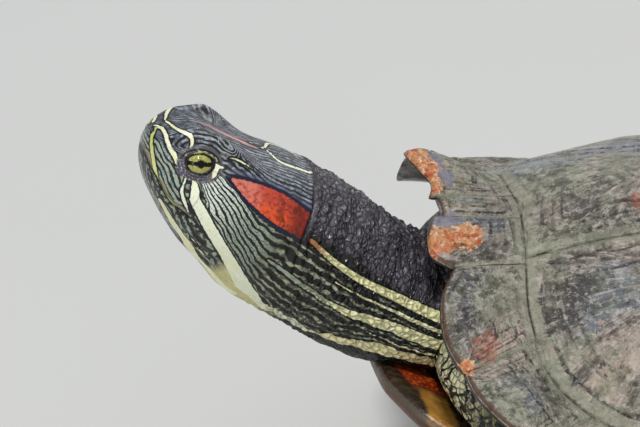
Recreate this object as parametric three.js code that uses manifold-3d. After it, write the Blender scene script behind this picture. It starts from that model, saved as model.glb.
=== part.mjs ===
// A life-size red-eared slider turtle (Trachemys scripta elegans), an adult with a 225 mm carapace.
// It stands still on a floor with its front raised on the forelegs and its neck stretched up and forward.
// Millimetres, +X towards the head, +Y to the turtle's left, +Z up. The origin is at the bottom
// centre of its box.
//
// Three frames are used. The shell frame has its origin on the underside of the plastron, below the middle of
// the carapace. The stance frame has the floor at z = 0 and holds the pitched shell, the limbs and the neck.
// The head frame has its origin where the head meets the neck, with +X out through the snout.
import * as THREE from "three";
import { mergeVertices } from "three/addons/utils/BufferGeometryUtils.js";
import Module from "manifold-3d";

const wasm = await Module();
wasm.setup();

// ---------------------------------------------------------------- driving sizes
const GAP = 0.3; // between neighbouring pieces

const STANCE = {
  shellPitch: 18, // degrees, front up
  contact: -100, // shell-frame x that meets the floor behind
  headYaw: 5.1,
  headPitch: 32.4,
  headRoll: 2.6, // the crown leans a little to the right
  headAt: [224.4, -0.3, 107.8], // where the head meets the neck
};

const CARAPACE = {
  front: 111,
  rear: 113,
  halfWidth: 85,
  frontSquareness: 3.1,
  rearSquareness: 2.2,
  crown: 77, // height of the dome over the underside of the plastron
  keel: 2.4, // how far the ridge along the vertebrals stands up in front
  thickness: 3.4,
  edgeThickness: 2.0,
};

const PLASTRON = { thickness: 5, bridgeFrom: 46, bridgeTo: 76, bridgeRise: 20 };
const TRUNK_CLEARANCE = 0.8;

// Marginal borders from the nuchal at the front to the tail, in degrees round the shell.
const MARGINAL_BORDERS = [2.4, 10.6, 23.6, 37, 53, 70, 88, 105, 121, 135.5, 149, 163.5, 180];
// How far each marginal's free edge stands out of the oval.
const MARGINAL_LOBES = [3, 1.3, 1.4, 0.6, 0.3, 0.3, 0.5, 1.2, 2, 2.4, 2.6, 2.2];
const NUCHAL_NOTCH = 1.5;
// The first right marginal is turned up; the lift fades out along the rim between two angles.
const RIGHT_FRONT_FLARE = { lift: 9.5, forward: 4.5, fadeFrom: 15, fadeTo: 25 };

const EYE = { at: [30, 7.9, 9], radius: 4.5 };

// ---------------------------------------------------------------- small helpers
const rad = THREE.MathUtils.degToRad;
const vec = (x, y, z) => new THREE.Vector3(x, y, z);
const mix = THREE.MathUtils.lerp;
const smooth = THREE.MathUtils.smoothstep;

// A smooth curve through [x, y] knots, level beyond its ends.
function curve(knots) {
  const slope = (i) => {
    const a = knots[Math.max(i - 1, 0)];
    const b = knots[Math.min(i + 1, knots.length - 1)];
    return (b[1] - a[1]) / (b[0] - a[0]);
  };
  return (x) => {
    if (x <= knots[0][0]) return knots[0][1];
    const i = knots.findIndex((k) => k[0] > x) - 1;
    if (i < 0) return knots.at(-1)[1];
    const [x0, y0] = knots[i];
    const [x1, y1] = knots[i + 1];
    const w = x1 - x0;
    const t = (x - x0) / w;
    const cubic = t * t * (3 - 2 * t);
    const rise = t * (1 - t) * (1 - t) * w * slope(i);
    const fall = t * t * (t - 1) * w * slope(i + 1);
    return mix(y0, y1, cubic) + rise + fall;
  };
}

function closedGeometry(points, index) {
  const positions = new Float32Array(points.flatMap((p) => [p.x, p.y, p.z]));
  return new THREE.BufferGeometry()
    .setAttribute("position", new THREE.BufferAttribute(positions, 3))
    .setIndex(index);
}

// A manifold-3d solid from a closed geometry, whichever way its faces wind.
function solidFrom(geometry) {
  const bare = geometry.clone();
  bare.deleteAttribute("normal");
  bare.deleteAttribute("uv");
  const merged = mergeVertices(bare, 1e-4);
  const build = (triVerts) =>
    new wasm.Manifold(
      new wasm.Mesh({ numProp: 3, vertProperties: merged.attributes.position.array, triVerts }),
    );
  const triVerts = new Uint32Array(merged.index.array);
  const made = build(triVerts);
  if (made.volume() > 0) return made;
  for (let i = 0; i < triVerts.length; i += 3) {
    [triVerts[i + 1], triVerts[i + 2]] = [triVerts[i + 2], triVerts[i + 1]];
  }
  return build(triVerts);
}

function geometryFrom(solid) {
  const mesh = solid.getMesh();
  const points = [];
  for (let i = 0; i < mesh.numVert; i++) {
    points.push(vec(...mesh.vertProperties.subarray(i * mesh.numProp, i * mesh.numProp + 3)));
  }
  return closedGeometry(points, [...mesh.triVerts]);
}

// One closed solid through rings of points, capped at both ends.
function loft(rings) {
  const n = rings[0].length;
  const points = rings.flat();
  const middle = (ring) => ring.reduce((sum, p) => sum.add(p), vec(0, 0, 0)).divideScalar(n);
  const index = [];
  for (let r = 0; r + 1 < rings.length; r++) {
    for (let i = 0; i < n; i++) {
      const a = r * n + i;
      const b = r * n + ((i + 1) % n);
      index.push(a, b, a + n, b, b + n, a + n);
    }
  }
  const last = (rings.length - 1) * n;
  points.push(middle(rings[0]), middle(rings.at(-1)));
  for (let i = 0; i < n; i++) {
    const j = (i + 1) % n;
    index.push(j, i, points.length - 2, last + i, last + j, points.length - 1);
  }
  return solidFrom(closedGeometry(points, index));
}

// A solid plate over a star-shaped plan outline, between an underside and a top that are functions of x and y.
function plate(outline, top, underside, ringCount) {
  const n = outline.length;
  const centre = outline.reduce((sum, p) => sum.add(p), new THREE.Vector2()).divideScalar(n);
  const points = [];
  const index = [];
  for (const height of [top, underside]) {
    const start = points.length;
    points.push(vec(centre.x, centre.y, height(centre.x, centre.y)));
    for (let r = 1; r <= ringCount; r++) {
      for (const corner of outline) {
        const p = centre.clone().lerp(corner, r / ringCount);
        points.push(vec(p.x, p.y, height(p.x, p.y)));
      }
    }
    const up = height === top;
    const face = (a, b, c) => index.push(...(up ? [a, b, c] : [a, c, b]));
    for (let i = 0; i < n; i++) {
      const j = (i + 1) % n;
      face(start, start + 1 + i, start + 1 + j);
      for (let r = 1; r < ringCount; r++) {
        const inner = start + 1 + (r - 1) * n;
        face(inner + i, inner + n + i, inner + n + j);
        face(inner + i, inner + n + j, inner + j);
      }
    }
  }
  const perSide = 1 + ringCount * n;
  const rim = 1 + (ringCount - 1) * n;
  for (let i = 0; i < n; i++) {
    const j = (i + 1) % n;
    index.push(rim + i, perSide + rim + i, rim + j, rim + j, perSide + rim + i, perSide + rim + j);
  }
  return solidFrom(closedGeometry(points, index));
}

// A tube along a path. Each stop is {at, wide, high, roll}: half-sizes across and up, in millimetres.
function limb(stops, sides, steps) {
  const line = new THREE.CatmullRomCurve3(stops.map((s) => vec(...s.at)), false, "centripetal");
  const along = (key) => curve(stops.map((s, i) => [i / (stops.length - 1), s[key] ?? 0]));
  const wide = along("wide");
  const high = along("high");
  const roll = along("roll");
  const rings = [];
  for (let k = 0; k <= steps; k++) {
    const t = k / steps;
    const forward = line.getTangent(t);
    const turn = rad(roll(t));
    const across = vec(0, 0, 1).cross(forward).normalize().applyAxisAngle(forward, turn);
    const up = forward.clone().cross(across);
    rings.push(
      Array.from({ length: sides }, (_, i) => {
        const angle = (i / sides) * 2 * Math.PI;
        return line
          .getPoint(t)
          .addScaledVector(across, wide(t) * Math.sin(angle))
          .addScaledVector(up, high(t) * Math.cos(angle));
      }),
    );
  }
  return loft(rings);
}

// ---------------------------------------------------------------- the carapace's surface, in the shell frame
const rimHeight = curve([
  [0, 48], [4, 47.3], [10.6, 42.5], [18, 33.5], [24, 30], [36, 27], [60, 25], [100, 26],
  [140, 28.5], [180, 33],
]);
// Where the marginals meet the costals: how far out towards the rim, and how high.
const ringShare = curve([
  [0, 0.815], [15, 0.84], [24, 0.85], [60, 0.87], [100, 0.87], [150, 0.85], [180, 0.84],
]);
const ringHeight = curve([
  [0, 52.4], [10.6, 51.2], [20, 42], [30, 33.5], [42, 31.5], [60, 35], [90, 38], [120, 37.5],
  [150, 38], [180, 41],
]);
// How much of the dome's rise is left, from its middle to the marginals, ahead and behind.
const riseAhead = curve([
  [0, 1], [0.2, 0.97], [0.4, 0.86], [0.56, 0.695], [0.72, 0.51], [0.86, 0.285], [1, 0],
]);
const riseBehind = curve([
  [0, 1], [0.2, 0.985], [0.4, 0.925], [0.6, 0.775], [0.8, 0.48], [0.9, 0.26], [1, 0],
]);

function ovalRadius(angle) {
  const c = Math.abs(Math.cos(angle));
  const s = Math.abs(Math.sin(angle));
  const ahead = Math.cos(angle) > 0;
  const n = ahead ? CARAPACE.frontSquareness : CARAPACE.rearSquareness;
  const reach = ahead ? CARAPACE.front : CARAPACE.rear;
  return Math.pow(Math.pow(c / reach, n) + Math.pow(s / CARAPACE.halfWidth, n), -1 / n);
}

// The plan point at an angle in degrees, positive on the left, and a share of the way to the rim.
function shellPoint(degrees, share, beyond = 0) {
  const angle = rad(degrees);
  const reach = ovalRadius(angle) * share + beyond;
  return new THREE.Vector2(reach * Math.cos(angle), reach * Math.sin(angle));
}

function carapaceTop(x, y) {
  const angle = Math.atan2(y, x);
  const degrees = THREE.MathUtils.radToDeg(angle);
  const share = Math.hypot(x, y) / ovalRadius(angle);
  const ringAt = ringShare(Math.abs(degrees));
  const ring = ringHeight(Math.abs(degrees));
  if (share > ringAt) {
    const t = (share - ringAt) / (1 - ringAt);
    const { lift, fadeFrom, fadeTo } = RIGHT_FRONT_FLARE;
    const along = smooth(-degrees, 2, 10) * (1 - smooth(-degrees, fadeFrom, fadeTo));
    const flare = lift * smooth(share, 0.84, 1.03) * along;
    return mix(ring, rimHeight(Math.abs(degrees)), t) + flare;
  }
  const t = share / ringAt;
  const rise = mix(riseBehind(t), riseAhead(t), (1 + Math.cos(angle)) / 2);
  const keel = CARAPACE.keel * Math.exp(-((y / 8) ** 2)) * smooth(t, 1, 0.9) * mix(0.4, 1, smooth(x, -40, 40));
  return mix(ring, CARAPACE.crown - CARAPACE.keel * 0.4, rise) + keel;
}

function carapaceUnderside(x, y) {
  const share = Math.hypot(x, y) / ovalRadius(Math.atan2(y, x));
  return carapaceTop(x, y) - mix(CARAPACE.thickness, CARAPACE.edgeThickness, smooth(share, 0.85, 1));
}

// ---------------------------------------------------------------- the scutes, in the shell frame
const seamLine = (from, to, count) =>
  Array.from({ length: count }, (_, i) => from.clone().lerp(to, i / count));
const onRing = (degrees) => shellPoint(degrees, ringShare(Math.abs(((degrees + 540) % 360) - 180)));
const ringLine = (from, to, count) =>
  Array.from({ length: count }, (_, i) => onRing(mix(from, to, i / count)));

// The free edge of a marginal, which stands out of the oval as a lobe. The flared one also reaches
// forward, in line with its far seam.
function freeEdge(i, sign, count) {
  const [from, to] = [MARGINAL_BORDERS[i], MARGINAL_BORDERS[i + 1]];
  const flare = i === 0 && sign < 0 ? RIGHT_FRONT_FLARE.forward : 0;
  const along = shellPoint(sign * to, 1).sub(onRing(sign * RING_BORDERS[i + 1])).normalize();
  return Array.from({ length: count + 1 }, (_, k) => {
    const t = k / count;
    const out = MARGINAL_LOBES[i] * Math.pow(Math.sin(Math.PI * mix(0.01, 0.99, t)), 0.6);
    return shellPoint(sign * mix(from, to, t), 1, out).addScaledVector(along, flare * t);
  });
}

const FIRST_VERTEBRAL_HALF = 12.6; // degrees round the ring, half the front edge of the first vertebral
const LAST_VERTEBRAL_HALF = 158;
const COSTAL_BORDERS = [FIRST_VERTEBRAL_HALF, 52, 88, 122, LAST_VERTEBRAL_HALF];
// Where vertebrals meet each other, and where a costal seam meets a vertebral's side: [x, half width].
const VERTEBRAL_SEAMS = [[50, 17.5], [8, 17], [-35, 17], [-75, 13]];
const COSTAL_CORNERS = [[29, 22], [-13, 23], [-55, 21]];
const NUCHAL_HALF = { rim: MARGINAL_BORDERS[0], ring: 3.4 };
// The same borders where the marginals meet the costals.
const RING_BORDERS = [NUCHAL_HALF.ring, 13.4, ...MARGINAL_BORDERS.slice(2)];

// The outline drawn in by half a gap, so that neighbouring pieces don't touch.
function drawnIn(outline) {
  const centre = outline.reduce((sum, p) => sum.add(p), new THREE.Vector2()).divideScalar(outline.length);
  return outline.map((p) => {
    const out = p.clone().sub(centre);
    return centre.clone().add(out.setLength(out.length() - GAP * 0.8));
  });
}

function joinCorners(corners, perEdge) {
  return corners.flatMap((from, i) => seamLine(from, corners[(i + 1) % corners.length], perEdge));
}

function scuteOutlines() {
  const outlines = {};
  const side = (point, sign) => new THREE.Vector2(point[0], sign * point[1]);
  const half = NUCHAL_HALF;
  const notch = (degrees) => shellPoint(degrees, 1, -NUCHAL_NOTCH);
  outlines.nuchal = [
    ...seamLine(notch(-half.rim), notch(half.rim), 3),
    ...seamLine(notch(half.rim), onRing(half.ring), 3),
    ...ringLine(half.ring, -half.ring, 3),
    ...seamLine(onRing(-half.ring), notch(-half.rim), 3),
  ];

  const [first] = VERTEBRAL_SEAMS;
  outlines.vertebral_1 = [
    ...ringLine(-FIRST_VERTEBRAL_HALF, FIRST_VERTEBRAL_HALF, 6),
    ...seamLine(onRing(FIRST_VERTEBRAL_HALF), side(first, 1), 3),
    ...seamLine(side(first, 1), side(first, -1), 4),
    ...seamLine(side(first, -1), onRing(-FIRST_VERTEBRAL_HALF), 3),
  ];
  for (let i = 0; i < 3; i++) {
    const [ahead, waist, behind] = [VERTEBRAL_SEAMS[i], COSTAL_CORNERS[i], VERTEBRAL_SEAMS[i + 1]];
    const left = [ahead, waist, behind].map((p) => side(p, 1));
    const right = [behind, waist, ahead].map((p) => side(p, -1));
    outlines[`vertebral_${i + 2}`] = joinCorners([...left, ...right], 3);
  }
  const last = VERTEBRAL_SEAMS.at(-1);
  outlines.vertebral_5 = [
    ...seamLine(side(last, -1), side(last, 1), 3),
    ...seamLine(side(last, 1), onRing(LAST_VERTEBRAL_HALF), 3),
    ...ringLine(LAST_VERTEBRAL_HALF, 360 - LAST_VERTEBRAL_HALF, 6),
    ...seamLine(onRing(-LAST_VERTEBRAL_HALF), side(last, -1), 3),
  ];

  for (const [name, sign] of [["left", 1], ["right", -1]]) {
    for (let i = 0; i < 4; i++) {
      const inner = [];
      if (i > 0) inner.push(side(COSTAL_CORNERS[i - 1], sign));
      inner.push(side(VERTEBRAL_SEAMS[i], sign));
      if (i < 3) inner.push(side(COSTAL_CORNERS[i], sign));
      const [from, to] = [sign * COSTAL_BORDERS[i], sign * COSTAL_BORDERS[i + 1]];
      const chain = [onRing(from), ...inner, onRing(to)];
      const outline = chain.slice(0, -1).flatMap((p, k) => seamLine(p, chain[k + 1], 2));
      outline.push(...ringLine(to, from, 6));
      outlines[`costal_${name}_${i + 1}`] = outline;
    }
    for (let i = 0; i < 12; i++) {
      const ringFrom = sign * RING_BORDERS[i];
      const ringTo = sign * RING_BORDERS[i + 1];
      const edge = freeEdge(i, sign, 4);
      outlines[`marginal_${name}_${i + 1}`] = [
        ...edge,
        edge.at(-1).clone().lerp(onRing(ringTo), 0.5),
        ...ringLine(ringTo, ringFrom, 3),
        onRing(ringFrom),
        edge[0].clone().lerp(onRing(ringFrom), 0.5),
      ];
    }
  }
  return outlines;
}

// ---------------------------------------------------------------- plastron and trunk, in the shell frame
// Half of the plastron's outline from the throat to the tail: the front lobe, the bridge and the rear lobe.
const PLASTRON_HALF = [
  [114, 5], [113, 16], [106, 29], [93, 36], [72, 40], [52, 43], [45, 56], [38, 72],
  [12, 76], [-14, 76], [-38, 74], [-46, 58], [-52, 44], [-70, 42], [-89, 36], [-100, 24], [-103, 12], [-100, 3],
];

function plastronUnderside(x, y) {
  const { bridgeFrom, bridgeTo, bridgeRise } = PLASTRON;
  const lip = 3 * smooth(x, 85, 114);
  return bridgeRise * smooth(Math.abs(y), bridgeFrom, bridgeTo + 14) * 1.6 + lip;
}

function plastronTop(x, y) {
  return Math.min(plastronUnderside(x, y) + PLASTRON.thickness, carapaceUnderside(x, y) - TRUNK_CLEARANCE);
}

function plastronOutline() {
  const left = PLASTRON_HALF.map(([x, y]) => new THREE.Vector2(x, y));
  const right = PLASTRON_HALF.map(([x, y]) => new THREE.Vector2(x, -y)).reverse();
  return [...left, ...right];
}

const trunkInset = curve([[0, 19], [35, 19], [60, 24], [110, 24], [150, 21], [180, 21]]);

// The body between the shells: grow widens it, and clearance keeps it off the shells.
function trunkSolid(grow, clearance) {
  const outline = Array.from({ length: 30 }, (_, i) => {
    const degrees = i * 12 - 180;
    const angle = rad(degrees);
    const reach = ovalRadius(angle) - trunkInset(Math.abs(degrees)) + grow;
    return new THREE.Vector2(reach * Math.cos(angle), reach * Math.sin(angle));
  });
  const top = (x, y) => carapaceUnderside(x, y) - 3.2 * clearance;
  const underside = (x, y) => plastronTop(x, y) + clearance;
  return plate(outline, top, underside, 7);
}

// ---------------------------------------------------------------- the head, in its own frame
const headHalfWidth = curve([
  [-2, 17.2], [8, 17.6], [16, 16.8], [24, 15.4], [30, 13.7], [34, 11.8], [37, 9.3], [39.2, 6.4],
  [40.6, 3.9], [41.6, 1.6],
]);
const headTop = curve([
  [-2, 16.9], [8, 17], [16, 16], [24, 15.5], [30, 16], [34, 15.6], [37.6, 13.7], [39.9, 12.1],
  [41, 10.9], [41.6, 9.8],
]);
const headBottom = curve([
  [-2, -19.1], [4, -18.6], [8, -17.5], [14, -14.7], [20, -12.4], [24, -10.5], [28, -8.3], [31.5, -5.9],
  [35, -3.3], [37.6, -0.6], [39.5, 2.5], [40.8, 6], [41.6, 8.2],
]);
const headMiddle = curve([
  [-2, 0], [16, 1], [24, 2], [30, 2.8], [34, 3.6], [37.6, 5], [40.2, 7], [41.6, 9],
]);
const mouthHeight = curve([
  [18, -2.2], [22, -2.6], [26, -2.6], [30, -2], [32, -1.8], [34.5, -0.4], [36.2, 1], [38.4, 2.4], [40.2, 4],
]);
const HEAD_SIDES = 26;
const JAW = { back: 22, front: 38 };

function headRing(h, sides) {
  const [half, top, bottom, middle] = [headHalfWidth, headTop, headBottom, headMiddle].map((f) => f(h));
  return Array.from({ length: sides }, (_, i) => {
    const angle = (i / sides) * 2 * Math.PI;
    const s = Math.sin(angle);
    const c = Math.cos(angle);
    const squared = (v, power) => Math.sign(v) * Math.pow(Math.abs(v), power);
    // The brows stand over the eyes and the crown is a little flat between them.
    const brow = 4.2 * Math.exp(-(((h - 26.5) / 9.5) ** 2)) * Math.exp(-(((Math.abs(s) - 0.68) / 0.24) ** 2));
    const up = c > 0 ? squared(c, 0.82) * (top - middle) + brow : squared(c, 0.95) * (middle - bottom);
    return vec(h, half * squared(s, 0.88), middle + up);
  });
}

// The space that the lower jaw takes, as a prism across the head; grow widens it.
function jawSpace(grow) {
  const shape = new THREE.Shape();
  shape.moveTo(JAW.back - grow, -40);
  for (let k = 0; k <= 8; k++) {
    const h = mix(JAW.back, JAW.front, k / 8);
    shape.lineTo(k === 0 ? h - grow : h, mouthHeight(h) + grow);
  }
  shape.lineTo(JAW.front + 8, mouthHeight(JAW.front) + grow);
  shape.lineTo(JAW.front + 8, -40);
  const prism = new THREE.ExtrudeGeometry(shape, { depth: 60, bevelEnabled: false });
  prism.rotateX(Math.PI / 2).translate(0, 30, 0);
  return solidFrom(prism);
}

const eyeSphere = (sign, radius) => {
  const ball = new THREE.SphereGeometry(radius, 12, 8);
  ball.translate(EYE.at[0], sign * EYE.at[1], EYE.at[2]);
  return solidFrom(ball);
};

function headSolids() {
  const stations = [GAP / 2, 6, 12, 18, 23, 27, 31, 34.5, 37, 39, 40.6, 41.5];
  const whole = loft(stations.map((h) => headRing(h, HEAD_SIDES)));
  const jaw = whole.intersect(jawSpace(0)).trimByPlane([-1, 0, 0], -JAW.front);
  let skull = whole.subtract(jawSpace(GAP));
  for (const sign of [1, -1]) skull = skull.subtract(eyeSphere(sign, EYE.radius + GAP));
  return { skull, jaw };
}

// ---------------------------------------------------------------- neck, legs and tail, in the stance frame
const headTurn = new THREE.Euler(rad(STANCE.headRoll), rad(-STANCE.headPitch), rad(STANCE.headYaw), "ZYX");
const headMatrix = new THREE.Matrix4().compose(
  vec(...STANCE.headAt),
  new THREE.Quaternion().setFromEuler(headTurn),
  vec(1, 1, 1),
);

function neckSolid() {
  const line = new THREE.CatmullRomCurve3([
    vec(147, -2, 73), vec(171.5, -4, 77), vec(195.5, -3.5, 85.6), vec(...STANCE.headAt),
  ]);
  const half = curve([[0, 20], [0.35, 19.5], [0.65, 17.6], [0.85, 17.1], [1, 17.2]]);
  // The nape is hollow where the neck bends up, and the throat hangs a little.
  const top = curve([[0, 17.5], [0.4, 15.2], [0.65, 15.3], [0.8, 16.4], [0.9, 16.7], [1, 16.9]]);
  const bottom = curve([[0, 20], [0.4, 18.4], [0.65, 19], [0.8, 19.1], [1, 19.1]]);
  const steps = 9;
  const rings = [];
  const end = headRing(-GAP / 2, HEAD_SIDES).map((p) => p.applyMatrix4(headMatrix));
  for (let k = 0; k < steps; k++) {
    const t = k / steps;
    const forward = line.getTangent(t);
    const twist = rad(STANCE.headRoll) * smooth(t, 0.3, 1);
    const across = vec(0, 1, 0).applyAxisAngle(forward, twist);
    const up = forward.clone().cross(across);
    rings.push(
      end.map((_, i) => {
        const angle = (i / end.length) * 2 * Math.PI;
        const high = Math.cos(angle) > 0 ? top(t) : bottom(t);
        return line
          .getPoint(t)
          .addScaledVector(across, half(t) * Math.sin(angle))
          .addScaledVector(up, high * Math.cos(angle));
      }),
    );
  }
  rings.push(end);
  return loft(rings);
}

// A toe with its claw: a short tapering finger from its root to the claw's tip on the floor.
function toe(root, heading, length, thick) {
  const out = vec(Math.cos(rad(heading)), Math.sin(rad(heading)), 0);
  const at = (share, z) => [root[0] + out.x * length * share, root[1] + out.y * length * share, z];
  return limb(
    [
      { at: at(-0.3, thick * 0.9), wide: thick, high: thick * 0.9 },
      { at: at(0.35, thick * 0.9), wide: thick * 0.95, high: thick * 0.9 },
      { at: at(0.6, thick * 0.95), wide: thick * 0.5, high: thick * 0.62 },
      { at: at(1, thick * 0.25), wide: 0.3, high: 0.3 },
    ],
    5,
    3,
  );
}

// A leg: the path of its upper and lower part, a webbed sole and its clawed toes.
function leg(spec) {
  const { stops, toes, toeLength, toeThick, spread, heading } = spec;
  const ankle = stops.at(-1).at;
  let made = limb(stops, 12, 9);
  const reach = spec.soleLength;
  const out = vec(Math.cos(rad(heading)), Math.sin(rad(heading)), 0);
  const at = (share, z) => [ankle[0] + out.x * reach * share, ankle[1] + out.y * reach * share, z];
  made = made.add(
    limb(
      [
        { at: at(-0.35, 5), wide: 7, high: 5 },
        { at: at(0.2, 3.4), wide: spec.soleHalf * 0.8, high: 4.4 },
        { at: at(0.7, 2), wide: spec.soleHalf, high: 3 },
        { at: at(1.05, 1), wide: spec.soleHalf * 0.9, high: 1.7 },
      ],
        10,
      4,
    ),
  );
  for (let i = 0; i < toes; i++) {
    const share = toes === 1 ? 0.5 : i / (toes - 1);
    const angle = heading + mix(-spread, spread, share);
    const shift = mix(-1, 1, share) * spec.soleHalf * 0.72;
    const root = [
      ankle[0] + out.x * reach * 0.72 - out.y * shift,
      ankle[1] + out.y * reach * 0.72 + out.x * shift,
    ];
    const middle = 1 - 0.25 * Math.abs(share - 0.5) * 2;
    made = made.add(toe(root, angle, toeLength * middle, toeThick));
  }
  return made.trimByPlane([0, 0, 1], 0);
}

// Lays a list of path stops on the other side of the body.
const mirrored = (stops) =>
  stops.map((s) => ({ ...s, at: [s.at[0], -s.at[1], s.at[2]], roll: -(s.roll ?? 0) }));

const FORELEG = { toes: 5, toeLength: 17, toeThick: 2.3, spread: 24, soleLength: 17, soleHalf: 13 };
const HINDLEG = { toes: 4, toeLength: 17, toeThick: 2.5, spread: 18, soleLength: 25, soleHalf: 14 };
const HIND_STOPS = [
  { at: [44, 26, 28], wide: 17, high: 13 },
  { at: [40, 52, 27], wide: 17, high: 12 },
  { at: [45, 78, 21], wide: 15, high: 11, roll: 10 },
  { at: [32, 93, 13], wide: 10, high: 9 },
  { at: [16, 100, 7], wide: 8, high: 6 },
];
const LEGS = {
  foreleg_left: {
    ...FORELEG,
    heading: 22,
    stops: [
      { at: [146, 26, 72], wide: 17, high: 17 },
      { at: [163, 47, 67], wide: 17, high: 16 },
      { at: [178, 72, 47], wide: 13, high: 12 },
      { at: [184, 86, 24], wide: 10, high: 9 },
      { at: [188, 90, 8], wide: 9, high: 7 },
    ],
  },
  foreleg_right: {
    ...FORELEG,
    heading: -68,
    stops: [
      { at: [146, -26, 72], wide: 17, high: 17 },
      { at: [160, -47, 67], wide: 17, high: 16 },
      { at: [166, -74, 48], wide: 13, high: 12 },
      { at: [158, -89, 24], wide: 10, high: 9 },
      { at: [152, -94, 8], wide: 9, high: 7 },
    ],
  },
  hindleg_left: { ...HINDLEG, heading: 152, stops: HIND_STOPS },
  hindleg_right: { ...HINDLEG, heading: -152, stops: mirrored(HIND_STOPS) },
};

const TAIL_STOPS = [
  { at: [16, 0, 17], wide: 12, high: 9 },
  { at: [-6, 1, 13], wide: 9, high: 7.5 },
  { at: [-24, 5, 7], wide: 5.5, high: 5 },
  { at: [-42, 12, 2.4], wide: 2, high: 2.4 },
  { at: [-50, 17, 0.9], wide: 0.7, high: 1 },
];

// ---------------------------------------------------------------- materials
const finish = (color, roughness) => new THREE.MeshStandardMaterial({ color, roughness, metalness: 0 });
const MATERIAL = {
  scute: finish(0x6f6c52, 0.35),
  flared: finish(0xc07a3c, 0.35),
  plastron: finish(0xc48a35, 0.4),
  skin: finish(0x2d2f27, 0.45),
  headSkin: finish(0x4f5f4c, 0.4),
  eye: finish(0xa7ad3d, 0.1),
};

// ---------------------------------------------------------------- assembly
const stance = new THREE.Group();
const shell = new THREE.Group();
const head = new THREE.Group();
stance.add(shell, head);
shell.rotation.y = rad(-STANCE.shellPitch);
const pitch = rad(STANCE.shellPitch);
shell.position.set(-STANCE.contact * Math.cos(pitch), 0, -STANCE.contact * Math.sin(pitch));
head.position.set(...STANCE.headAt);
head.rotation.copy(headTurn);
shell.updateMatrix();

function addNode(group, name, solid, material) {
  const mesh = new THREE.Mesh(geometryFrom(solid), material);
  mesh.name = name;
  group.add(mesh);
}

for (const [name, outline] of Object.entries(scuteOutlines())) {
  const solid = plate(drawnIn(outline), carapaceTop, carapaceUnderside, name.startsWith("marginal") ? 1 : 2);
  const front = name === "marginal_left_1" || name === "marginal_right_1";
  addNode(shell, name, solid, front ? MATERIAL.flared : MATERIAL.scute);
}

const floorNormal = [Math.sin(rad(STANCE.shellPitch)), 0, Math.cos(rad(STANCE.shellPitch))];
const floorOffset = STANCE.contact * floorNormal[0];
const plastron = plate(plastronOutline(), plastronTop, plastronUnderside, 4);
addNode(shell, "plastron", plastron.trimByPlane(floorNormal, floorOffset), MATERIAL.plastron);

// What the soft parts are trimmed by: the shell and the trunk, each grown by the gap.
const wholeRim = Array.from({ length: 96 }, (_, i) => shellPoint(i * 3.75 - 180, 1, 3));
const plastronSpace = plate(
  plastronOutline().map((p) => p.setLength(p.length() + GAP)),
  (x, y) => plastronTop(x, y) + GAP,
  (x, y) => plastronUnderside(x, y) - GAP,
  4,
);
const carapaceSpace = plate(
  wholeRim,
  (x, y) => carapaceTop(x, y) + GAP,
  (x, y) => carapaceUnderside(x, y) - GAP,
  12,
);
const trunk = trunkSolid(0, TRUNK_CLEARANCE).subtract(plastronSpace);
addNode(shell, "trunk", trunk, MATERIAL.skin);
const keepOut = carapaceSpace.add(plastronSpace).add(trunkSolid(GAP, -GAP)).transform(shell.matrix.elements);

// The largest piece of what is left, because a cut can leave slivers inside the shell.
const trimmed = (solid) =>
  solid
    .subtract(keepOut)
    .decompose()
    .reduce((a, b) => (a.volume() > b.volume() ? a : b));

const { skull, jaw } = headSolids();
addNode(head, "head", skull, MATERIAL.headSkin);
addNode(head, "jaw_lower", jaw, MATERIAL.headSkin);
addNode(head, "eye_left", eyeSphere(1, EYE.radius), MATERIAL.eye);
addNode(head, "eye_right", eyeSphere(-1, EYE.radius), MATERIAL.eye);

addNode(stance, "neck", trimmed(neckSolid()), MATERIAL.skin);
for (const [name, spec] of Object.entries(LEGS)) {
  addNode(stance, name, trimmed(leg(spec)), MATERIAL.skin);
}
addNode(stance, "tail", trimmed(limb(TAIL_STOPS, 10, 7).trimByPlane([0, 0, 1], 0)), MATERIAL.skin);

const turtle = new THREE.Group();
turtle.add(stance);
const box = new THREE.Box3().setFromObject(stance, true);
stance.position.set(-(box.min.x + box.max.x) / 2, -(box.min.y + box.max.y) / 2, -box.min.z);

export default turtle;
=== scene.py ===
"""A red-eared slider standing with its front raised and its neck stretched up and forward.

Lengths are in millimetres in the functions below and become metres when a mesh is made. Three frames are
used, as in the solids: the shell frame, the stance frame with the floor at z = 0, and the head frame.
"""
import math

import bmesh
import bpy
import numpy as np
from bpy.props import FloatProperty, FloatVectorProperty, PointerProperty
from mathutils import Matrix, Vector
from mathutils.kdtree import KDTree


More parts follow.
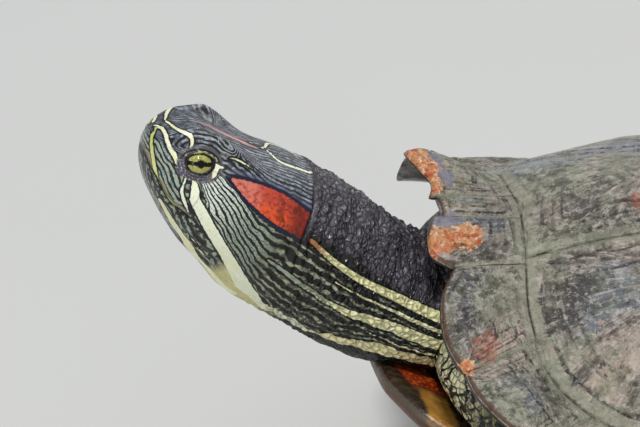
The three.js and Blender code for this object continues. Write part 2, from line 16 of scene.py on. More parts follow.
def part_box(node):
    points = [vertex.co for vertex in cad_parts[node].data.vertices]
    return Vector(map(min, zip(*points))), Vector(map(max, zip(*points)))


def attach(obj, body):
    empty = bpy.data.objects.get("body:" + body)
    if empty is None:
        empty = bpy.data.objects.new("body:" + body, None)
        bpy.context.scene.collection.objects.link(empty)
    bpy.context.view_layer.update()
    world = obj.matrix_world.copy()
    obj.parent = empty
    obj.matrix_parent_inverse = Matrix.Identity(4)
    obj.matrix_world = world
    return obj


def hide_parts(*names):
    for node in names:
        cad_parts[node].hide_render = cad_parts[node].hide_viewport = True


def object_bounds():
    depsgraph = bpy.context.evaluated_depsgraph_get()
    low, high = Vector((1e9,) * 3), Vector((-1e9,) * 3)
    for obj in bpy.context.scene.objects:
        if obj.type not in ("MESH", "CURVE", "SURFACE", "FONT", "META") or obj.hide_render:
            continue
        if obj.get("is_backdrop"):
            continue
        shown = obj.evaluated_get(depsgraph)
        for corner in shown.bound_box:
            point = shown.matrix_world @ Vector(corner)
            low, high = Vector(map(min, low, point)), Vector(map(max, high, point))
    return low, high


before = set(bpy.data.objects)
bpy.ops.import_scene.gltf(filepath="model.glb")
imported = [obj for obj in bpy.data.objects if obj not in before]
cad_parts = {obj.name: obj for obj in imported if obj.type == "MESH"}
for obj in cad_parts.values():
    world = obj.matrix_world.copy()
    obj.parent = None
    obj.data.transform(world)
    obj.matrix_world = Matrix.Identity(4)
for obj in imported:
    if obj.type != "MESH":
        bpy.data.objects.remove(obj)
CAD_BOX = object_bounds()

bl_info = {
    "name": "Red-eared slider",
    "version": (1, 0, 0),
    "blender": (4, 5, 0),
    "location": "View3D > Sidebar > Slider",
    "description": "Builds the skin, eyes, claws and shell of a standing red-eared slider",
    "category": "Add Mesh",
}

MM = 0.001

# ------------------------------------------------------------------------------------ sizes, in mm
SHELL_PITCH = 18.0
SHELL_CONTACT = -100.0  # shell-frame x that rests on the floor
HEAD_AT = np.array([224.4, -0.3, 107.8])
HEAD_YAW, HEAD_PITCH, HEAD_ROLL = 5.1, 32.4, 2.6

CARAPACE_FRONT, CARAPACE_REAR, CARAPACE_HALF_WIDTH = 111.0, 113.0, 85.0
FRONT_SQUARENESS, REAR_SQUARENESS = 3.1, 2.2
CROWN, KEEL = 77.0, 2.4
SCUTE_THICKNESS, RIM_THICKNESS = 3.4, 2.0
MARGINAL_BORDERS = (2.4, 10.6, 23.6, 37, 53, 70, 88, 105, 121, 135.5, 149, 163.5, 180)
MARGINAL_LOBES = (3, 1.3, 1.4, 0.6, 0.3, 0.3, 0.5, 1.2, 2, 2.4, 2.6, 2.2)
NUCHAL_NOTCH = 1.5
FLARE_LIFT, FLARE_FORWARD = 9.5, 4.5  # the first right marginal is turned up
FIRST_VERTEBRAL_HALF, LAST_VERTEBRAL_HALF = 12.6, 158.0
COSTAL_BORDERS = (FIRST_VERTEBRAL_HALF, 52, 88, 122, LAST_VERTEBRAL_HALF)
VERTEBRAL_SEAMS = ((50, 17.5), (8, 17), (-35, 17), (-75, 13))
COSTAL_CORNERS = ((29, 22), (-13, 23), (-55, 21))
NUCHAL_HALF_RING = 3.4
RING_BORDERS = (NUCHAL_HALF_RING, 13.4) + MARGINAL_BORDERS[2:]

EYE_AT = np.array([30.0, 7.9, 9.0])  # in the head frame, left eye
EYE_RADIUS = 4.5
LID_HALF_LENGTH = 3.6


# ------------------------------------------------------------------------------------- small maths
def ramp(x, low, high):
    """Smoothly from 0 at low to 1 at high."""
    t = np.clip((np.asarray(x, float) - low) / (high - low), 0, 1)
    return t * t * (3 - 2 * t)


def bell(x, centre, width):
    return np.exp(-(((np.asarray(x, float) - centre) / width) ** 2))


def mix(a, b, t):
    return a + (b - a) * t


def curve(*knots):
    """A smooth curve through (x, y) knots, level beyond its ends."""
    xs, ys = (np.array(v, float) for v in zip(*knots))
    slopes = [
        (ys[min(i + 1, len(xs) - 1)] - ys[max(i - 1, 0)]) / (xs[min(i + 1, len(xs) - 1)] - xs[max(i - 1,
                0)])
        for i in range(len(xs))
    ]
    slopes = np.array(slopes)

    def value(x):
        x = np.clip(np.asarray(x, float), xs[0], xs[-1])
        i = np.clip(np.searchsorted(xs, x, side="right") - 1, 0, len(xs) - 2)
        width = xs[i + 1] - xs[i]
        t = (x - xs[i]) / width
        rise = t * (1 - t) ** 2 * width * slopes[i] + t * t * (t - 1) * width * slopes[i + 1]
        return mix(ys[i], ys[i + 1], t * t * (3 - 2 * t)) + rise

    return value


def unit(v):
    return v / np.linalg.norm(v, axis=-1, keepdims=True)


def directions_across(heading):
    """The level and the upward direction at right angles to a heading."""
    level = unit(np.cross([0, 0, 1.0], heading))
    return level, np.cross(heading, level)


def reach_along(points):
    """How far along a line of points each of them is."""
    return np.concatenate([[0], np.cumsum(np.linalg.norm(np.diff(points, axis=0), axis=1))])


def turned(axis, degrees):
    """A 3 by 3 rotation about X, Y or Z."""
    return np.array(Matrix.Rotation(math.radians(degrees), 3, axis))


HEAD_TURN = turned("Z", HEAD_YAW) @ turned("Y", -HEAD_PITCH) @ turned("X", HEAD_ROLL)
SHELL_TURN = turned("Y", -SHELL_PITCH)
EYE_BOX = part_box("eye_left")
EYE_CENTRE = (np.array(EYE_BOX[0]) + np.array(EYE_BOX[1])) / 2 / MM
STANCE_SHIFT = EYE_CENTRE - (HEAD_AT + HEAD_TURN @ EYE_AT)
STANCE_SHIFT[1:] = 0.0
CAMERA_LEVEL = np.array([184.42, 0, 110.4])  # the carapace's front edge, in the stance frame
VIEW_ASIDE, VIEW_UP = -28.8, -2.5  # how far the middle of the view is from there, to the right and up


def from_head(p):
    return p @ HEAD_TURN.T + HEAD_AT


def from_shell(p):
    return (p - np.array([SHELL_CONTACT, 0, 0])) @ SHELL_TURN.T


_lattices = {}


def noise(p, size, seed=0):
    """Smooth noise from -1 to 1 with features of about size mm."""
    if seed not in _lattices:
        _lattices[seed] = np.random.RandomState(seed).uniform(-1, 1, (32, 32, 32))
    table = _lattices[seed]
    q = np.asarray(p, float) / size
    low = np.floor(q).astype(int)
    t = q - low
    t = t * t * t * (t * (t * 6 - 15) + 10)
    total = 0
    for dx in (0, 1):
        for dy in (0, 1):
            for dz in (0, 1):
                w = np.abs(1 - dx - t[:, 0]) * np.abs(1 - dy - t[:, 1]) * np.abs(1 - dz - t[:, 2])
                total = total + w * table[(low[:, 0] + dx) % 32, (low[:, 1] + dy) % 32,
                                          (low[:, 2] + dz) % 32]
    return total


def cells(p, size, seed=0):
    """Distances in cell sizes to the nearest and second nearest of scattered points."""
    rng = np.random.RandomState(seed)
    jitter = rng.uniform(0.1, 0.9, (24, 24, 24, 3))
    q = np.asarray(p, float) / size
    low = np.floor(q).astype(int)
    first = np.full(len(q), 9.0)
    second = np.full(len(q), 9.0)
    for dx in (-1, 0, 1):
        for dy in (-1, 0, 1):
            for dz in (-1, 0, 1):
                cell = low + (dx, dy, dz)
                index = tuple((cell % 24).T)
                d = np.linalg.norm(cell + jitter[index] - q, axis=1)
                closer = d < first
                second = np.where(closer, first, np.minimum(second, d))
                first = np.where(closer, d, first)
    return first, second


# ------------------------------------------------------------------------------------------ meshes
def new_mesh(name, points, faces, fields=None, shift=True):
    """A mesh object from points in mm in the stance frame, with its place in its mesh and number fields."""
    mesh = bpy.data.meshes.new(name)
    placed = (np.asarray(points) + (STANCE_SHIFT if shift else 0)) * MM
    mesh.from_pydata(placed.tolist(), [], [list(f) for f in faces])
    set_fields(mesh, fields or {})
    mesh.update()
    return placed_object(name, mesh)


def placed_object(name, mesh):
    made = bpy.data.objects.new(name, mesh)
    bpy.context.collection.objects.link(made)
    mesh.shade_smooth()
    return made


def points_of(mesh):
    flat = np.empty(len(mesh.vertices) * 3)
    mesh.vertices.foreach_get("co", flat)
    return flat.reshape(-1, 3) / MM - STANCE_SHIFT


def set_points(mesh, points):
    mesh.vertices.foreach_set("co", ((points + STANCE_SHIFT) * MM).ravel())
    mesh.update()


def normals_of(mesh):
    flat = np.empty(len(mesh.vertices) * 3)
    mesh.vertex_normals.foreach_get("vector", flat)
    return flat.reshape(-1, 3)


def set_fields(mesh, fields):
    for key, values in fields.items():
        attribute = mesh.attributes.new(key, "FLOAT", "POINT")
        attribute.data.foreach_set("value", np.asarray(values, np.float32))


def tube_faces(rows, columns):
    """Quads of a closed tube of rows rings of columns points, with the two cap centres after the rings."""
    r, c = np.meshgrid(np.arange(rows - 1), np.arange(columns), indexing="ij")
    a = (r * columns + c).ravel()
    b = (r * columns + (c + 1) % columns).ravel()
    faces = np.stack([a, b, b + columns, a + columns], axis=1).tolist()
    last = (rows - 1) * columns
    for i in range(columns):
        j = (i + 1) % columns
        faces.append([j, i, rows * columns])
        faces.append([last + i, last + j, rows * columns + 1])
    return faces


def evaluated(source, name):
    """The object's mesh with its modifiers in it, as a new plain object; the source goes."""
    graph = bpy.context.evaluated_depsgraph_get()
    mesh = bpy.data.meshes.new_from_object(source.evaluated_get(graph))
    mesh.name = name
    bpy.data.objects.remove(source)
    return placed_object(name, mesh)


def neighbour_mean(points, edges, counts):
    total = np.zeros_like(points)
    np.add.at(total, edges[:, 0], points[edges[:, 1]])
    np.add.at(total, edges[:, 1], points[edges[:, 0]])
    return total / counts[:, None]


def relax(mesh, weight, rounds):
    """Evens a mesh out where weight is above 0."""
    flat = np.empty(len(mesh.edges) * 2, int)
    mesh.edges.foreach_get("vertices", flat)
    edges = flat.reshape(-1, 2)
    counts = np.maximum(np.bincount(flat, minlength=len(mesh.vertices)), 1)
    points = points_of(mesh)
    for _ in range(rounds):
        points += (neighbour_mean(points, edges, counts) - points) * weight[:, None] * 0.6
    set_points(mesh, points)


# ----------------------------------------------------------------------------- the shell's surface
rim_height = curve((0, 48), (4, 47.3), (10.6, 42.5), (18, 33.5), (24, 30), (36, 27), (60, 25), (100, 26),
                   (140, 28.5), (180, 33))
ring_share = curve((0, 0.815), (15, 0.84), (24, 0.85), (60, 0.87), (100, 0.87), (150, 0.85), (180, 0.84))
ring_height = curve((0, 52.4), (10.6, 51.2), (20, 42), (30, 33.5), (42, 31.5), (60, 35), (90, 38),
                    (120, 37.5), (150, 38), (180, 41))
rise_ahead = curve((0, 1), (0.2, 0.97), (0.4, 0.86), (0.56, 0.695), (0.72, 0.51), (0.86, 0.285), (1, 0))
rise_behind = curve((0, 1), (0.2, 0.985), (0.4, 0.925), (0.6, 0.775), (0.8, 0.48), (0.9, 0.26), (1, 0))


def oval_radius(degrees):
    c, s = np.abs(np.cos(np.radians(degrees))), np.abs(np.sin(np.radians(degrees)))
    ahead = np.cos(np.radians(degrees)) > 0
    n = np.where(ahead, FRONT_SQUARENESS, REAR_SQUARENESS)
    reach = np.where(ahead, CARAPACE_FRONT, CARAPACE_REAR)
    return ((c / reach) ** n + (s / CARAPACE_HALF_WIDTH) ** n) ** (-1 / n)


def shell_point(degrees, share=1.0, beyond=0.0):
    reach = oval_radius(degrees) * share + beyond
    return np.stack([reach * np.cos(np.radians(degrees)), reach * np.sin(np.radians(degrees))], axis=-1)


def carapace_top(x, y):
    degrees = np.degrees(np.arctan2(y, x))
    share = np.hypot(x, y) / oval_radius(degrees)
    ring_at, ring = ring_share(np.abs(degrees)), ring_height(np.abs(degrees))
    flare = ramp(share, 0.84, 1.03) * ramp(-degrees, 2, 10) * (1 - ramp(-degrees, 15, 25))
    border = mix(ring, rim_height(np.abs(degrees)), (share - ring_at) / (1 - ring_at)) + FLARE_LIFT * flare
    t = share / ring_at
    rise = mix(rise_behind(t), rise_ahead(t), (1 + np.cos(np.radians(degrees))) / 2)
    keel = KEEL * bell(y, 0, 8) * ramp(-t, -1, -0.9) * mix(0.4, 1, ramp(x, -40, 40))
    return np.where(share > ring_at, border, mix(ring, CROWN - KEEL * 0.4, rise) + keel)


def carapace_underside(x, y):
    share = np.hypot(x, y) / oval_radius(np.degrees(np.arctan2(y, x)))
    return carapace_top(x, y) - mix(SCUTE_THICKNESS, RIM_THICKNESS, ramp(share, 0.85, 1))


def plastron_underside(x, y):
    return 32.0 * ramp(np.abs(y), 46, 90) + 3.0 * ramp(x, 85, 114)


def plastron_top(x, y):
    return np.minimum(plastron_underside(x, y) + 5.0, carapace_underside(x, y) - 0.8)


def on_ring(degrees):
    return shell_point(degrees, ring_share(np.abs((np.asarray(degrees) + 540) % 360 - 180)))


def straight(a, b, count=24):
    return mix(np.array(a)[None], np.array(b)[None], np.linspace(0, 1, count, False)[:, None])


def ring_arc(start, stop, count=24):
    return on_ring(np.linspace(start, stop, count, False))


FLARE_EDGE = curve((0, 0.2), (0.25, -1.6), (0.45, 0), (0.7, 1.6), (0.9, 1.4),
                   (1, 0.2))  # beyond the oval, along it


def scute_outlines():
    """Each scute's plan outline in the shell frame, with which of its points are on the shell's free edge."""
    made = {}

    def keep(name, *parts):
        points = np.vstack([p for p, _ in parts])
        free = np.concatenate([np.full(len(p), f) for p, f in parts])
        made[name] = (points, free)

    def side(point, sign):
        return (point[0], sign * point[1])

    notch = [shell_point(d, 1, -NUCHAL_NOTCH) for d in (-MARGINAL_BORDERS[0], MARGINAL_BORDERS[0])]
    half = NUCHAL_HALF_RING
    keep("nuchal", (straight(notch[0], notch[1]), 1), (straight(notch[1], on_ring(half)), 0),
         (ring_arc(half, -half), 0), (straight(on_ring(-half), notch[0]), 0))
    first, last = VERTEBRAL_SEAMS[0], VERTEBRAL_SEAMS[-1]
    angle = FIRST_VERTEBRAL_HALF
    keep("vertebral_1", (ring_arc(-angle, angle), 0), (straight(on_ring(angle), side(first, 1)), 0),
         (straight(side(first, 1), side(first, -1)), 0), (straight(side(first, -1), on_ring(-angle)), 0))
    for i in range(3):
        chain = [VERTEBRAL_SEAMS[i], COSTAL_CORNERS[i], VERTEBRAL_SEAMS[i + 1]]
        corners = [side(p, 1) for p in chain] + [side(p, -1) for p in chain[::-1]]
        keep(f"vertebral_{i + 2}", *((straight(p, corners[(k + 1) % 6]), 0) for k, p in enumerate(corners)))
    angle = LAST_VERTEBRAL_HALF
    keep("vertebral_5", (straight(side(last, -1), side(last, 1)), 0),
         (straight(side(last, 1), on_ring(angle)), 0),
         (ring_arc(angle, 360 - angle), 0), (straight(on_ring(-angle), side(last, -1)), 0))
    for name, sign in (("left", 1), ("right", -1)):
        for i in range(4):
            inner = ([side(COSTAL_CORNERS[i - 1], sign)] if i else []) + [side(VERTEBRAL_SEAMS[i], sign)]
            inner += [side(COSTAL_CORNERS[i], sign)] if i < 3 else []
            start, stop = sign * COSTAL_BORDERS[i], sign * COSTAL_BORDERS[i + 1]
            chain = [on_ring(start), *inner, on_ring(stop)]
            keep(f"costal_{name}_{i + 1}", *((straight(p, chain[k + 1]), 0) for k,
                                             p in enumerate(chain[:-1])),
                 (ring_arc(stop, start, 40), 0))
        for i in range(12):
            rim = np.array(MARGINAL_BORDERS[i:i + 2])
            t = np.linspace(0, 1, 40)
            flare = FLARE_FORWARD if i == 0 and sign < 0 else 0.0
            out = MARGINAL_LOBES[i] * np.sin(np.pi * mix(0.01, 0.99, t)) ** 0.6
            if flare:
                out = FLARE_EDGE(t)
            elif i < 2 and sign > 0:
                out = out - 2.6 * bell(t, 1 - i, 0.16)
            inner = RING_BORDERS[i:i + 2]
            along = unit(shell_point(sign * rim[1]) - on_ring(sign * inner[1]))
            edge = shell_point(sign * mix(rim[0], rim[1], t), 1, out) + along * (flare * t)[:, None]
            keep(f"marginal_{name}_{i + 1}", (edge[:-1], 1), (straight(edge[-1], on_ring(sign * inner[1])),
                                                              0),
                 (ring_arc(sign * inner[1], sign * inner[0]), 0),
                 (straight(on_ring(sign * inner[0]), edge[0]), 0))
    return made


def resampled(points, flags, count):
    """A closed outline with count evenly spaced points, and the flags carried along."""
    closed = np.vstack([points, points[:1]])
    reach = reach_along(closed)
    at = np.linspace(0, reach[-1], count, False)
    line = np.stack([np.interp(at, reach, closed[:, k]) for k in (0, 1)], axis=1)
    flag = np.append(flags, flags[0])[np.clip(np.searchsorted(reach, at, side="right") - 1, 0, len(flags))]
    return line, flag


def outline_distance(flat, line):
    """Distance in mm from plan points to a closed line of points."""
    a, b = line, np.roll(line, -1, axis=0)
    ab = b - a
    length2 = np.maximum((ab * ab).sum(1), 1e-9)
    result = np.empty(len(flat))
    for chunk in np.array_split(np.arange(len(flat)), len(flat) // 2000 + 1):
        ap = flat[chunk][:, None] - a[None]
        t = np.clip((ap * ab).sum(2) / length2, 0, 1)
        result[chunk] = np.linalg.norm(ap - t[..., None] * ab, axis=2).min(axis=1)
    return result


# -------------------------------------------------------------------------- the head and neck tube
half_width_of = curve(
    (-78, 20), (-50, 19.5), (-26, 17.6), (-10, 17.1), (0, 17.2), (8, 17.6), (16, 16.8), (24, 15.4),
    (30, 13.7), (34, 11.8), (37, 9.3), (39.2, 6.4), (40.6, 3.9), (41.6, 1.6))
top_of = curve(
    (-78, 17.5), (-50, 15.5), (-38, 14.9), (-27, 15.3), (-18, 16.4), (-9, 16.7), (0, 16.9), (8, 17),
    (16, 16),
    (24, 15.5), (30, 16), (34, 15.6), (37.6, 13.7), (39.9, 12.1), (41, 10.9), (41.6, 9.8))
bottom_of = curve(
    (-78, -19), (-60, -15.5), (-50, -15.2), (-44, -16.2), (-37, -18.1), (-28, -19.1), (-16, -19.1),
    (-6, -19.2), (0, -19.1), (4, -18.6),
    (8, -17.5), (14, -14.7), (20, -12.4), (24, -10.5), (28, -8.3), (31.5, -5.9), (35, -3.3), (37.6, -0.6),
    (39.5, 2.5), (40.8, 6), (41.6, 8.2))
middle_of = curve((-78, 0), (0, 0), (16, 1), (24, 2), (30, 2.8), (34, 3.6), (37.6, 5), (40.2, 7), (41.6, 9))
mouth_of = curve(
    (18, -2.2), (22, -2.6), (26, -2.6), (30, -2), (32, -1.8), (34.5, -0.4), (36.2, 1), (38.4, 2.4),
    (40.2, 4))

NECK_STOPS = np.array([[139.0, -1.5, 71.5], [147, -2, 73], [171.5, -4, 77], [195.5, -3.5, 85.6], HEAD_AT])


def neck_tables():
    """The neck's middle line at even steps back from the head, as distances, points and directions."""
    ahead = HEAD_AT + HEAD_TURN[:, 0] * 24
    stops = np.vstack([NECK_STOPS, ahead])
    reach = reach_along(stops)
    line = [curve(*zip(reach, stops[:, k])) for k in range(3)]
    fine = np.linspace(0, reach[-2], 600)
    points = np.stack([f(fine) for f in line], axis=1)
    lengths = reach_along(points)
    return lengths - lengths[-1], points, unit(np.gradient(points, axis=0))


NECK_BACK, NECK_LINE, NECK_HEADING = neck_tables()
NECK_START = -76.0


def tube_frame(s):
    """Origin, left and up of the section s mm ahead of the back of the head, in the stance frame."""
    s = np.asarray(s, float)
    origin = np.stack([np.interp(s, NECK_BACK, NECK_LINE[:, k]) for k in range(3)], axis=-1)
    heading = unit(np.stack([np.interp(s, NECK_BACK, NECK_HEADING[:, k]) for k in range(3)], axis=-1))
    heading = unit(mix(heading, HEAD_TURN[:, 0], ramp(s, -14, 0)[..., None]))
    level, up = directions_across(heading)
    roll = np.radians(HEAD_ROLL * ramp(s, -50, 0))[..., None]
    left = level * np.cos(roll) + up * np.sin(roll)
    up = np.cross(heading, left)
    on_head = (s > 0)[..., None]
    origin = np.where(on_head, HEAD_AT + s[..., None] * HEAD_TURN[:, 0], origin)
    left = np.where(on_head, HEAD_TURN[:, 1], left)
    up = np.where(on_head, HEAD_TURN[:, 2], up)
    return origin, left, up


def powered(v, power):
    return np.sign(v) * np.abs(v) ** power


def tube_section(s, phi):
    """Offsets left and up of the bare head and neck at s mm and phi degrees from the top, left positive."""
    s, phi = np.broadcast_arrays(np.asarray(s, float), np.asarray(phi, float))
    a = np.radians(phi)
    sn, cs = np.sin(a), np.cos(a)
    squared = ramp(s, -14, 4)
    side = half_width_of(s) * powered(sn, mix(1, 0.88, squared))
    middle = middle_of(s)
    brow = 4.2 * bell(s, 26.5, 9.5) * bell(np.abs(sn), 0.68, 0.24)
    over = powered(np.maximum(cs, 0), mix(1, 0.82, squared)) * (top_of(s) - middle) + brow * (cs > 0)
    under = powered(np.minimum(cs, 0), mix(1, 0.95, squared)) * (middle - bottom_of(s))
    # The jaw muscle behind the mouth's corner and the loose throat under it.
    cheek = 1.0 * bell(s, 13, 8) * bell(np.abs(phi), 96, 26)
    side = side + np.sign(sn) * cheek
    return side, middle + over + under


def tube_point(s, phi):
    side, up_by = tube_section(s, phi)
    origin, left, up = tube_frame(np.broadcast_to(np.asarray(s, float), side.shape))
    return origin + left * side[..., None] + up * up_by[..., None]


# ---------------------------------------------------------------------------------------- markings
# Every route runs on the left side through (s, phi) knots: mm ahead of the back of the head, and degrees
# from the crown. Then come its half width in mm at shares of its length, and its tone, from 0 for ivory
# through 0.5 for yellow to 1 for yellow-green; a tone of -1 is a dull grey-green.
# how the stripes dip and rise as the neck bends
neck_sway = curve((-60, -0.5), (-35, -1), (-15, 1), (0, -0.5))
BROAD_FROM, BROAD_TURN = (31, 85), (-4, 146)  # under the eye, and where the stripe meets the throat's edge
BROAD_BOW = 0.8  # below 1 bows it forward over the jaw


def along_neck(start, stop, level, swing):
    """A route back along the neck round a level in degrees."""
    return tuple((s, level + swing * float(neck_sway(s))) for s in np.linspace(start, stop, 8))


def down_cheek(t):
    return (mix(BROAD_FROM[0], BROAD_TURN[0], t), mix(BROAD_FROM[1], BROAD_TURN[1], t ** BROAD_BOW))


def edge_of(share, thin, full):
    """A half width that grows from thin to full by a share of the route's length and stays so."""
    return ((0, thin), (share, full), (1, full))


BROAD_ROUTE = tuple(down_cheek(t) for t in np.linspace(0, 1, 6)) + along_neck(-12, -62, 134, 14)
STRIPE_ROUTES = (
    # down the beak from the nostril, then back above the mouth
    (((41, 40), (41, 90), (39, 110), (35, 120), (30, 117)), ((0, 0.35), (0.3, 0.55), (0.8, 0.45),
                                                             (1, 0.15)), 0.9),
    # a short one before the broad one
    (((33, 86), (31, 99), (28, 109)), ((0, 0.2), (0.6, 0.4), (1, 0.15)), 0.1),
    # from the snout to the front of the eye
    (((41, 15), (39, 56), (36, 80)), edge_of(0.4, 0.3, 0.45), 0.3),
    # from the snout over the brow, down to the eye's front corner
    (((39, 2), (37, 34), (35, 44), (35, 57)), ((0, 0.25), (0.6, 0.5), (1, 0.3)), 0.3),
    # the broad one from under the eye to the throat, and on along the lower edge of the neck
    (BROAD_ROUTE, ((0, 0.3), (0.03, 1.1), (0.2, 1.6), (0.3, 2), (0.4, 1.2), (0.55, 1.1), (0.7, 1.8),
                   (1, 1.5)), 0.15),
    # along the lower jaw to the throat
    (((33, 143), (25, 148), (14, 160), (5, 156)), ((0, 0.8), (0.3, 1.6), (1, 2.2)), 0.3),
    # a thin one between the jaw's and the broad one
    (((23, 135), (12, 144)), ((0, 0.15), (0.5, 0.3), (1, 0.15)), 0.4),
    # from the red patch's end down the side of the neck
    (along_neck(-2, -62, 75, 4), ((0, 0.5), (0.4, 0.95), (0.7, 1.3), (1, 1.3)), 0.6),
    # the middle one of the neck, dull where it leaves the cheek
    (((6, 98), (-6, 105), (-15, 108)), edge_of(0.5, 0.3, 0.55), -1),
    (along_neck(-13, -62, 102, 6), ((0, 0.4), (0.3, 1.3), (0.7, 1.5), (1, 1.3)), 0.45),
    # broken thin ones above and below it
    (along_neck(-10, -46, 87, 4), ((0, 0.1), (1, 0.5)), 0.4),
    (along_neck(-28, -60, 112, 3), ((0, 0.1), (1, 0.6)), 0.35),
    # a hook and a dash behind the eye
    (((28, 62), (25, 59)), ((0, 0.3), (0.5, 0.75), (1, 0.2)), 0.2),
    (((26, 62), (26, 73)), ((0, 0.7), (0.5, 0.65), (1, 0.15)), 0.2),
    (((25, 51), (19, 45)), ((0, 0.12), (0.3, 0.2), (1, 0.08)), 0.4),
    # on the temple
    (((17, -3), (13, 1), (10, 14), (1, 11)), edge_of(0.5, 0.15, 0.45), 0.1),
)
RED_ROUTE = ((23, 63), (13, 61), (0, 67))
RED_HALF = ((0, 0.3), (0.14, 1.5), (0.4, 3), (0.6, 3.6), (1, 3))
CROWN_ROUTE = ((34, 4), (24, -1), (15, 3))
CROWN_HALF = ((0, 0.2), (0.8, 0.6), (1, 0.15))
# The cheek's fine lines run between the red patch and the broad stripe, and on down the neck.
fan_upper = curve((-60, 81), (0, 80), (12, 77), (24, 65), (31, 74))
broad_level = curve(*sorted(BROAD_ROUTE))
FAN_LINES = 8
FOLD_AT = curve((-110, -3), (-74, 0.5), (0, 0), (74, 0.5), (110, -3))


def fan_lower(s):
    return broad_level(s) - mix(4, 8, ramp(s, -20, 0))


def fold_gap(s, phi, bare):
    """How far ahead of the crease behind the head a place is, in mm."""
    return s - FOLD_AT(phi) + 0.5 * noise(bare, 7, 5)


def on_tube(route, side=1, step=0.8):
    """A smooth route through (s, phi) knots as points on the skin, and the share of its length at each."""
    s, phi = (np.array(v, float) for v in zip(*route))
    rough = tube_point(s, phi)
    reach = reach_along(rough)
    at = np.linspace(0, reach[-1], max(int(reach[-1] / step), 5))
    return tube_point(curve(*zip(reach, s))(at), side * curve(*zip(reach, phi))(at)), at / reach[-1]


def edge_distance(points, line, halves, reach=3.0):
    """The signed distance in mm from each point to a stripe's edge: below 0 inside, at most reach."""
    result = np.full(len(points), reach)
    margin = reach + halves.max()
    near = np.flatnonzero(np.all((points > line.min(0) - margin) & (points < line.max(0) + margin), axis=1))
    a, ab = line[:-1], np.diff(line, axis=0)
    length2 = np.maximum((ab * ab).sum(1), 1e-9)
    for chunk in np.array_split(near, len(near) // 3000 + 1):
        if not len(chunk):
            continue
        ap = points[chunk][:, None, :] - a[None]
        t = np.clip((ap * ab).sum(2) / length2, 0, 1)
        d = np.linalg.norm(ap - t[..., None] * ab, axis=2) - mix(halves[:-1], halves[1:], t)
        result[chunk] = np.minimum(d.min(axis=1), reach)
    return result


def stripe_fields(base):
    """How far each point of the bare tube is from the pale stripes, the red patches and the crown's line."""
    fields = {"pale": np.full(len(base), 3.0), "tone": np.full(len(base), 0.4),
              "red": np.full(len(base), 3.0), "crown_line": np.full(len(base), 3.0)}
    for side in (1, -1):
        for route, half, tone in STRIPE_ROUTES:
            line, share = on_tube(route, side)
            d = edge_distance(base, line, curve(*half)(share))
            fields["tone"] = np.where(d < fields["pale"], tone, fields["tone"])
            fields["pale"] = np.minimum(fields["pale"], d)
        line, share = on_tube(RED_ROUTE, side)
        fields["red"] = np.minimum(fields["red"], edge_distance(base, line, curve(*RED_HALF)(share)))
    line, share = on_tube(CROWN_ROUTE)
    fields["crown_line"] = edge_distance(base, line, curve(*CROWN_HALF)(share))
    return fields


# --------------------------------------------------------------------------------- the eye's place
EYE_GAZE = unit(np.array([0.22, 0.93, 0.29]))
EYE_UP = unit(np.cross(np.array([0.924, -0.141, -0.356]), EYE_GAZE))
EYE_FORWARD = np.cross(EYE_GAZE, EYE_UP)


def eye_frame(stance_points, side):
    """Forward, up and outward mm from the eye's centre of points in the stance frame."""
    q = (stance_points - HEAD_AT) @ HEAD_TURN * np.array([1, side, 1]) - EYE_AT
    return q @ EYE_FORWARD, q @ EYE_UP, q @ EYE_GAZE


def lid_edge(a, b):
    """Roughly how far inside the lids' opening a place is, in mm; below 0 on the lids."""
    half_height = np.where(b > 0, 2.35, 2.5)
    u, v = np.abs(a) / LID_HALF_LENGTH, np.abs(b) / half_height
    reach = np.maximum((u ** 2.1 + v ** 2.1) ** (1 / 2.1), 1e-3)
    return np.hypot(a, b) * (1 / reach - 1) + (reach < 1e-2) * half_height


def with_eyes(points):
    """Raises the lids over the eyes and sinks the skin inside their opening behind the eyeball."""
    points = points.copy()
    for side in (1, -1):
        a, b, c = eye_frame(points, side)
        rho = np.hypot(a, b)
        reach = np.sqrt(a * a + b * b + c * c)
        near = (c > 0) & (rho < 8.5)
        inside = lid_edge(a, b)
        above, below = ramp(b, -0.5, 0.8), ramp(-b, -0.6, 0.6)
        # a rolled edge, then the upper lid's one deep fold or the lower lid's fine ones
        lid = 4.78 + 0.16 * bell(inside, -0.25, 0.25) - 0.3 * bell(inside, -0.95, 0.22) * above
        on_lower = below * ramp(-inside, 0.3, 0.6) * (1 - ramp(-inside, 1.8, 2.8))
        lid += on_lower * (0.1 * np.sin(inside * 2 * np.pi / 0.66 + 2 * noise(points, 2.2,
                7)) + 0.08 * noise(points, 0.9, 8))
        lid = mix(lid, 3.7, ramp(inside, -0.02, 0.4))
        hold = 1 - ramp(rho, 4.2, 8.2)
        wanted = mix(reach, lid, hold)
        scale = np.where(near, wanted / np.maximum(reach, 1e-6), 1)
        centre = from_head(EYE_AT * np.array([1, side, 1]))
        points = centre + (points - centre) * scale[:, None]
    return points


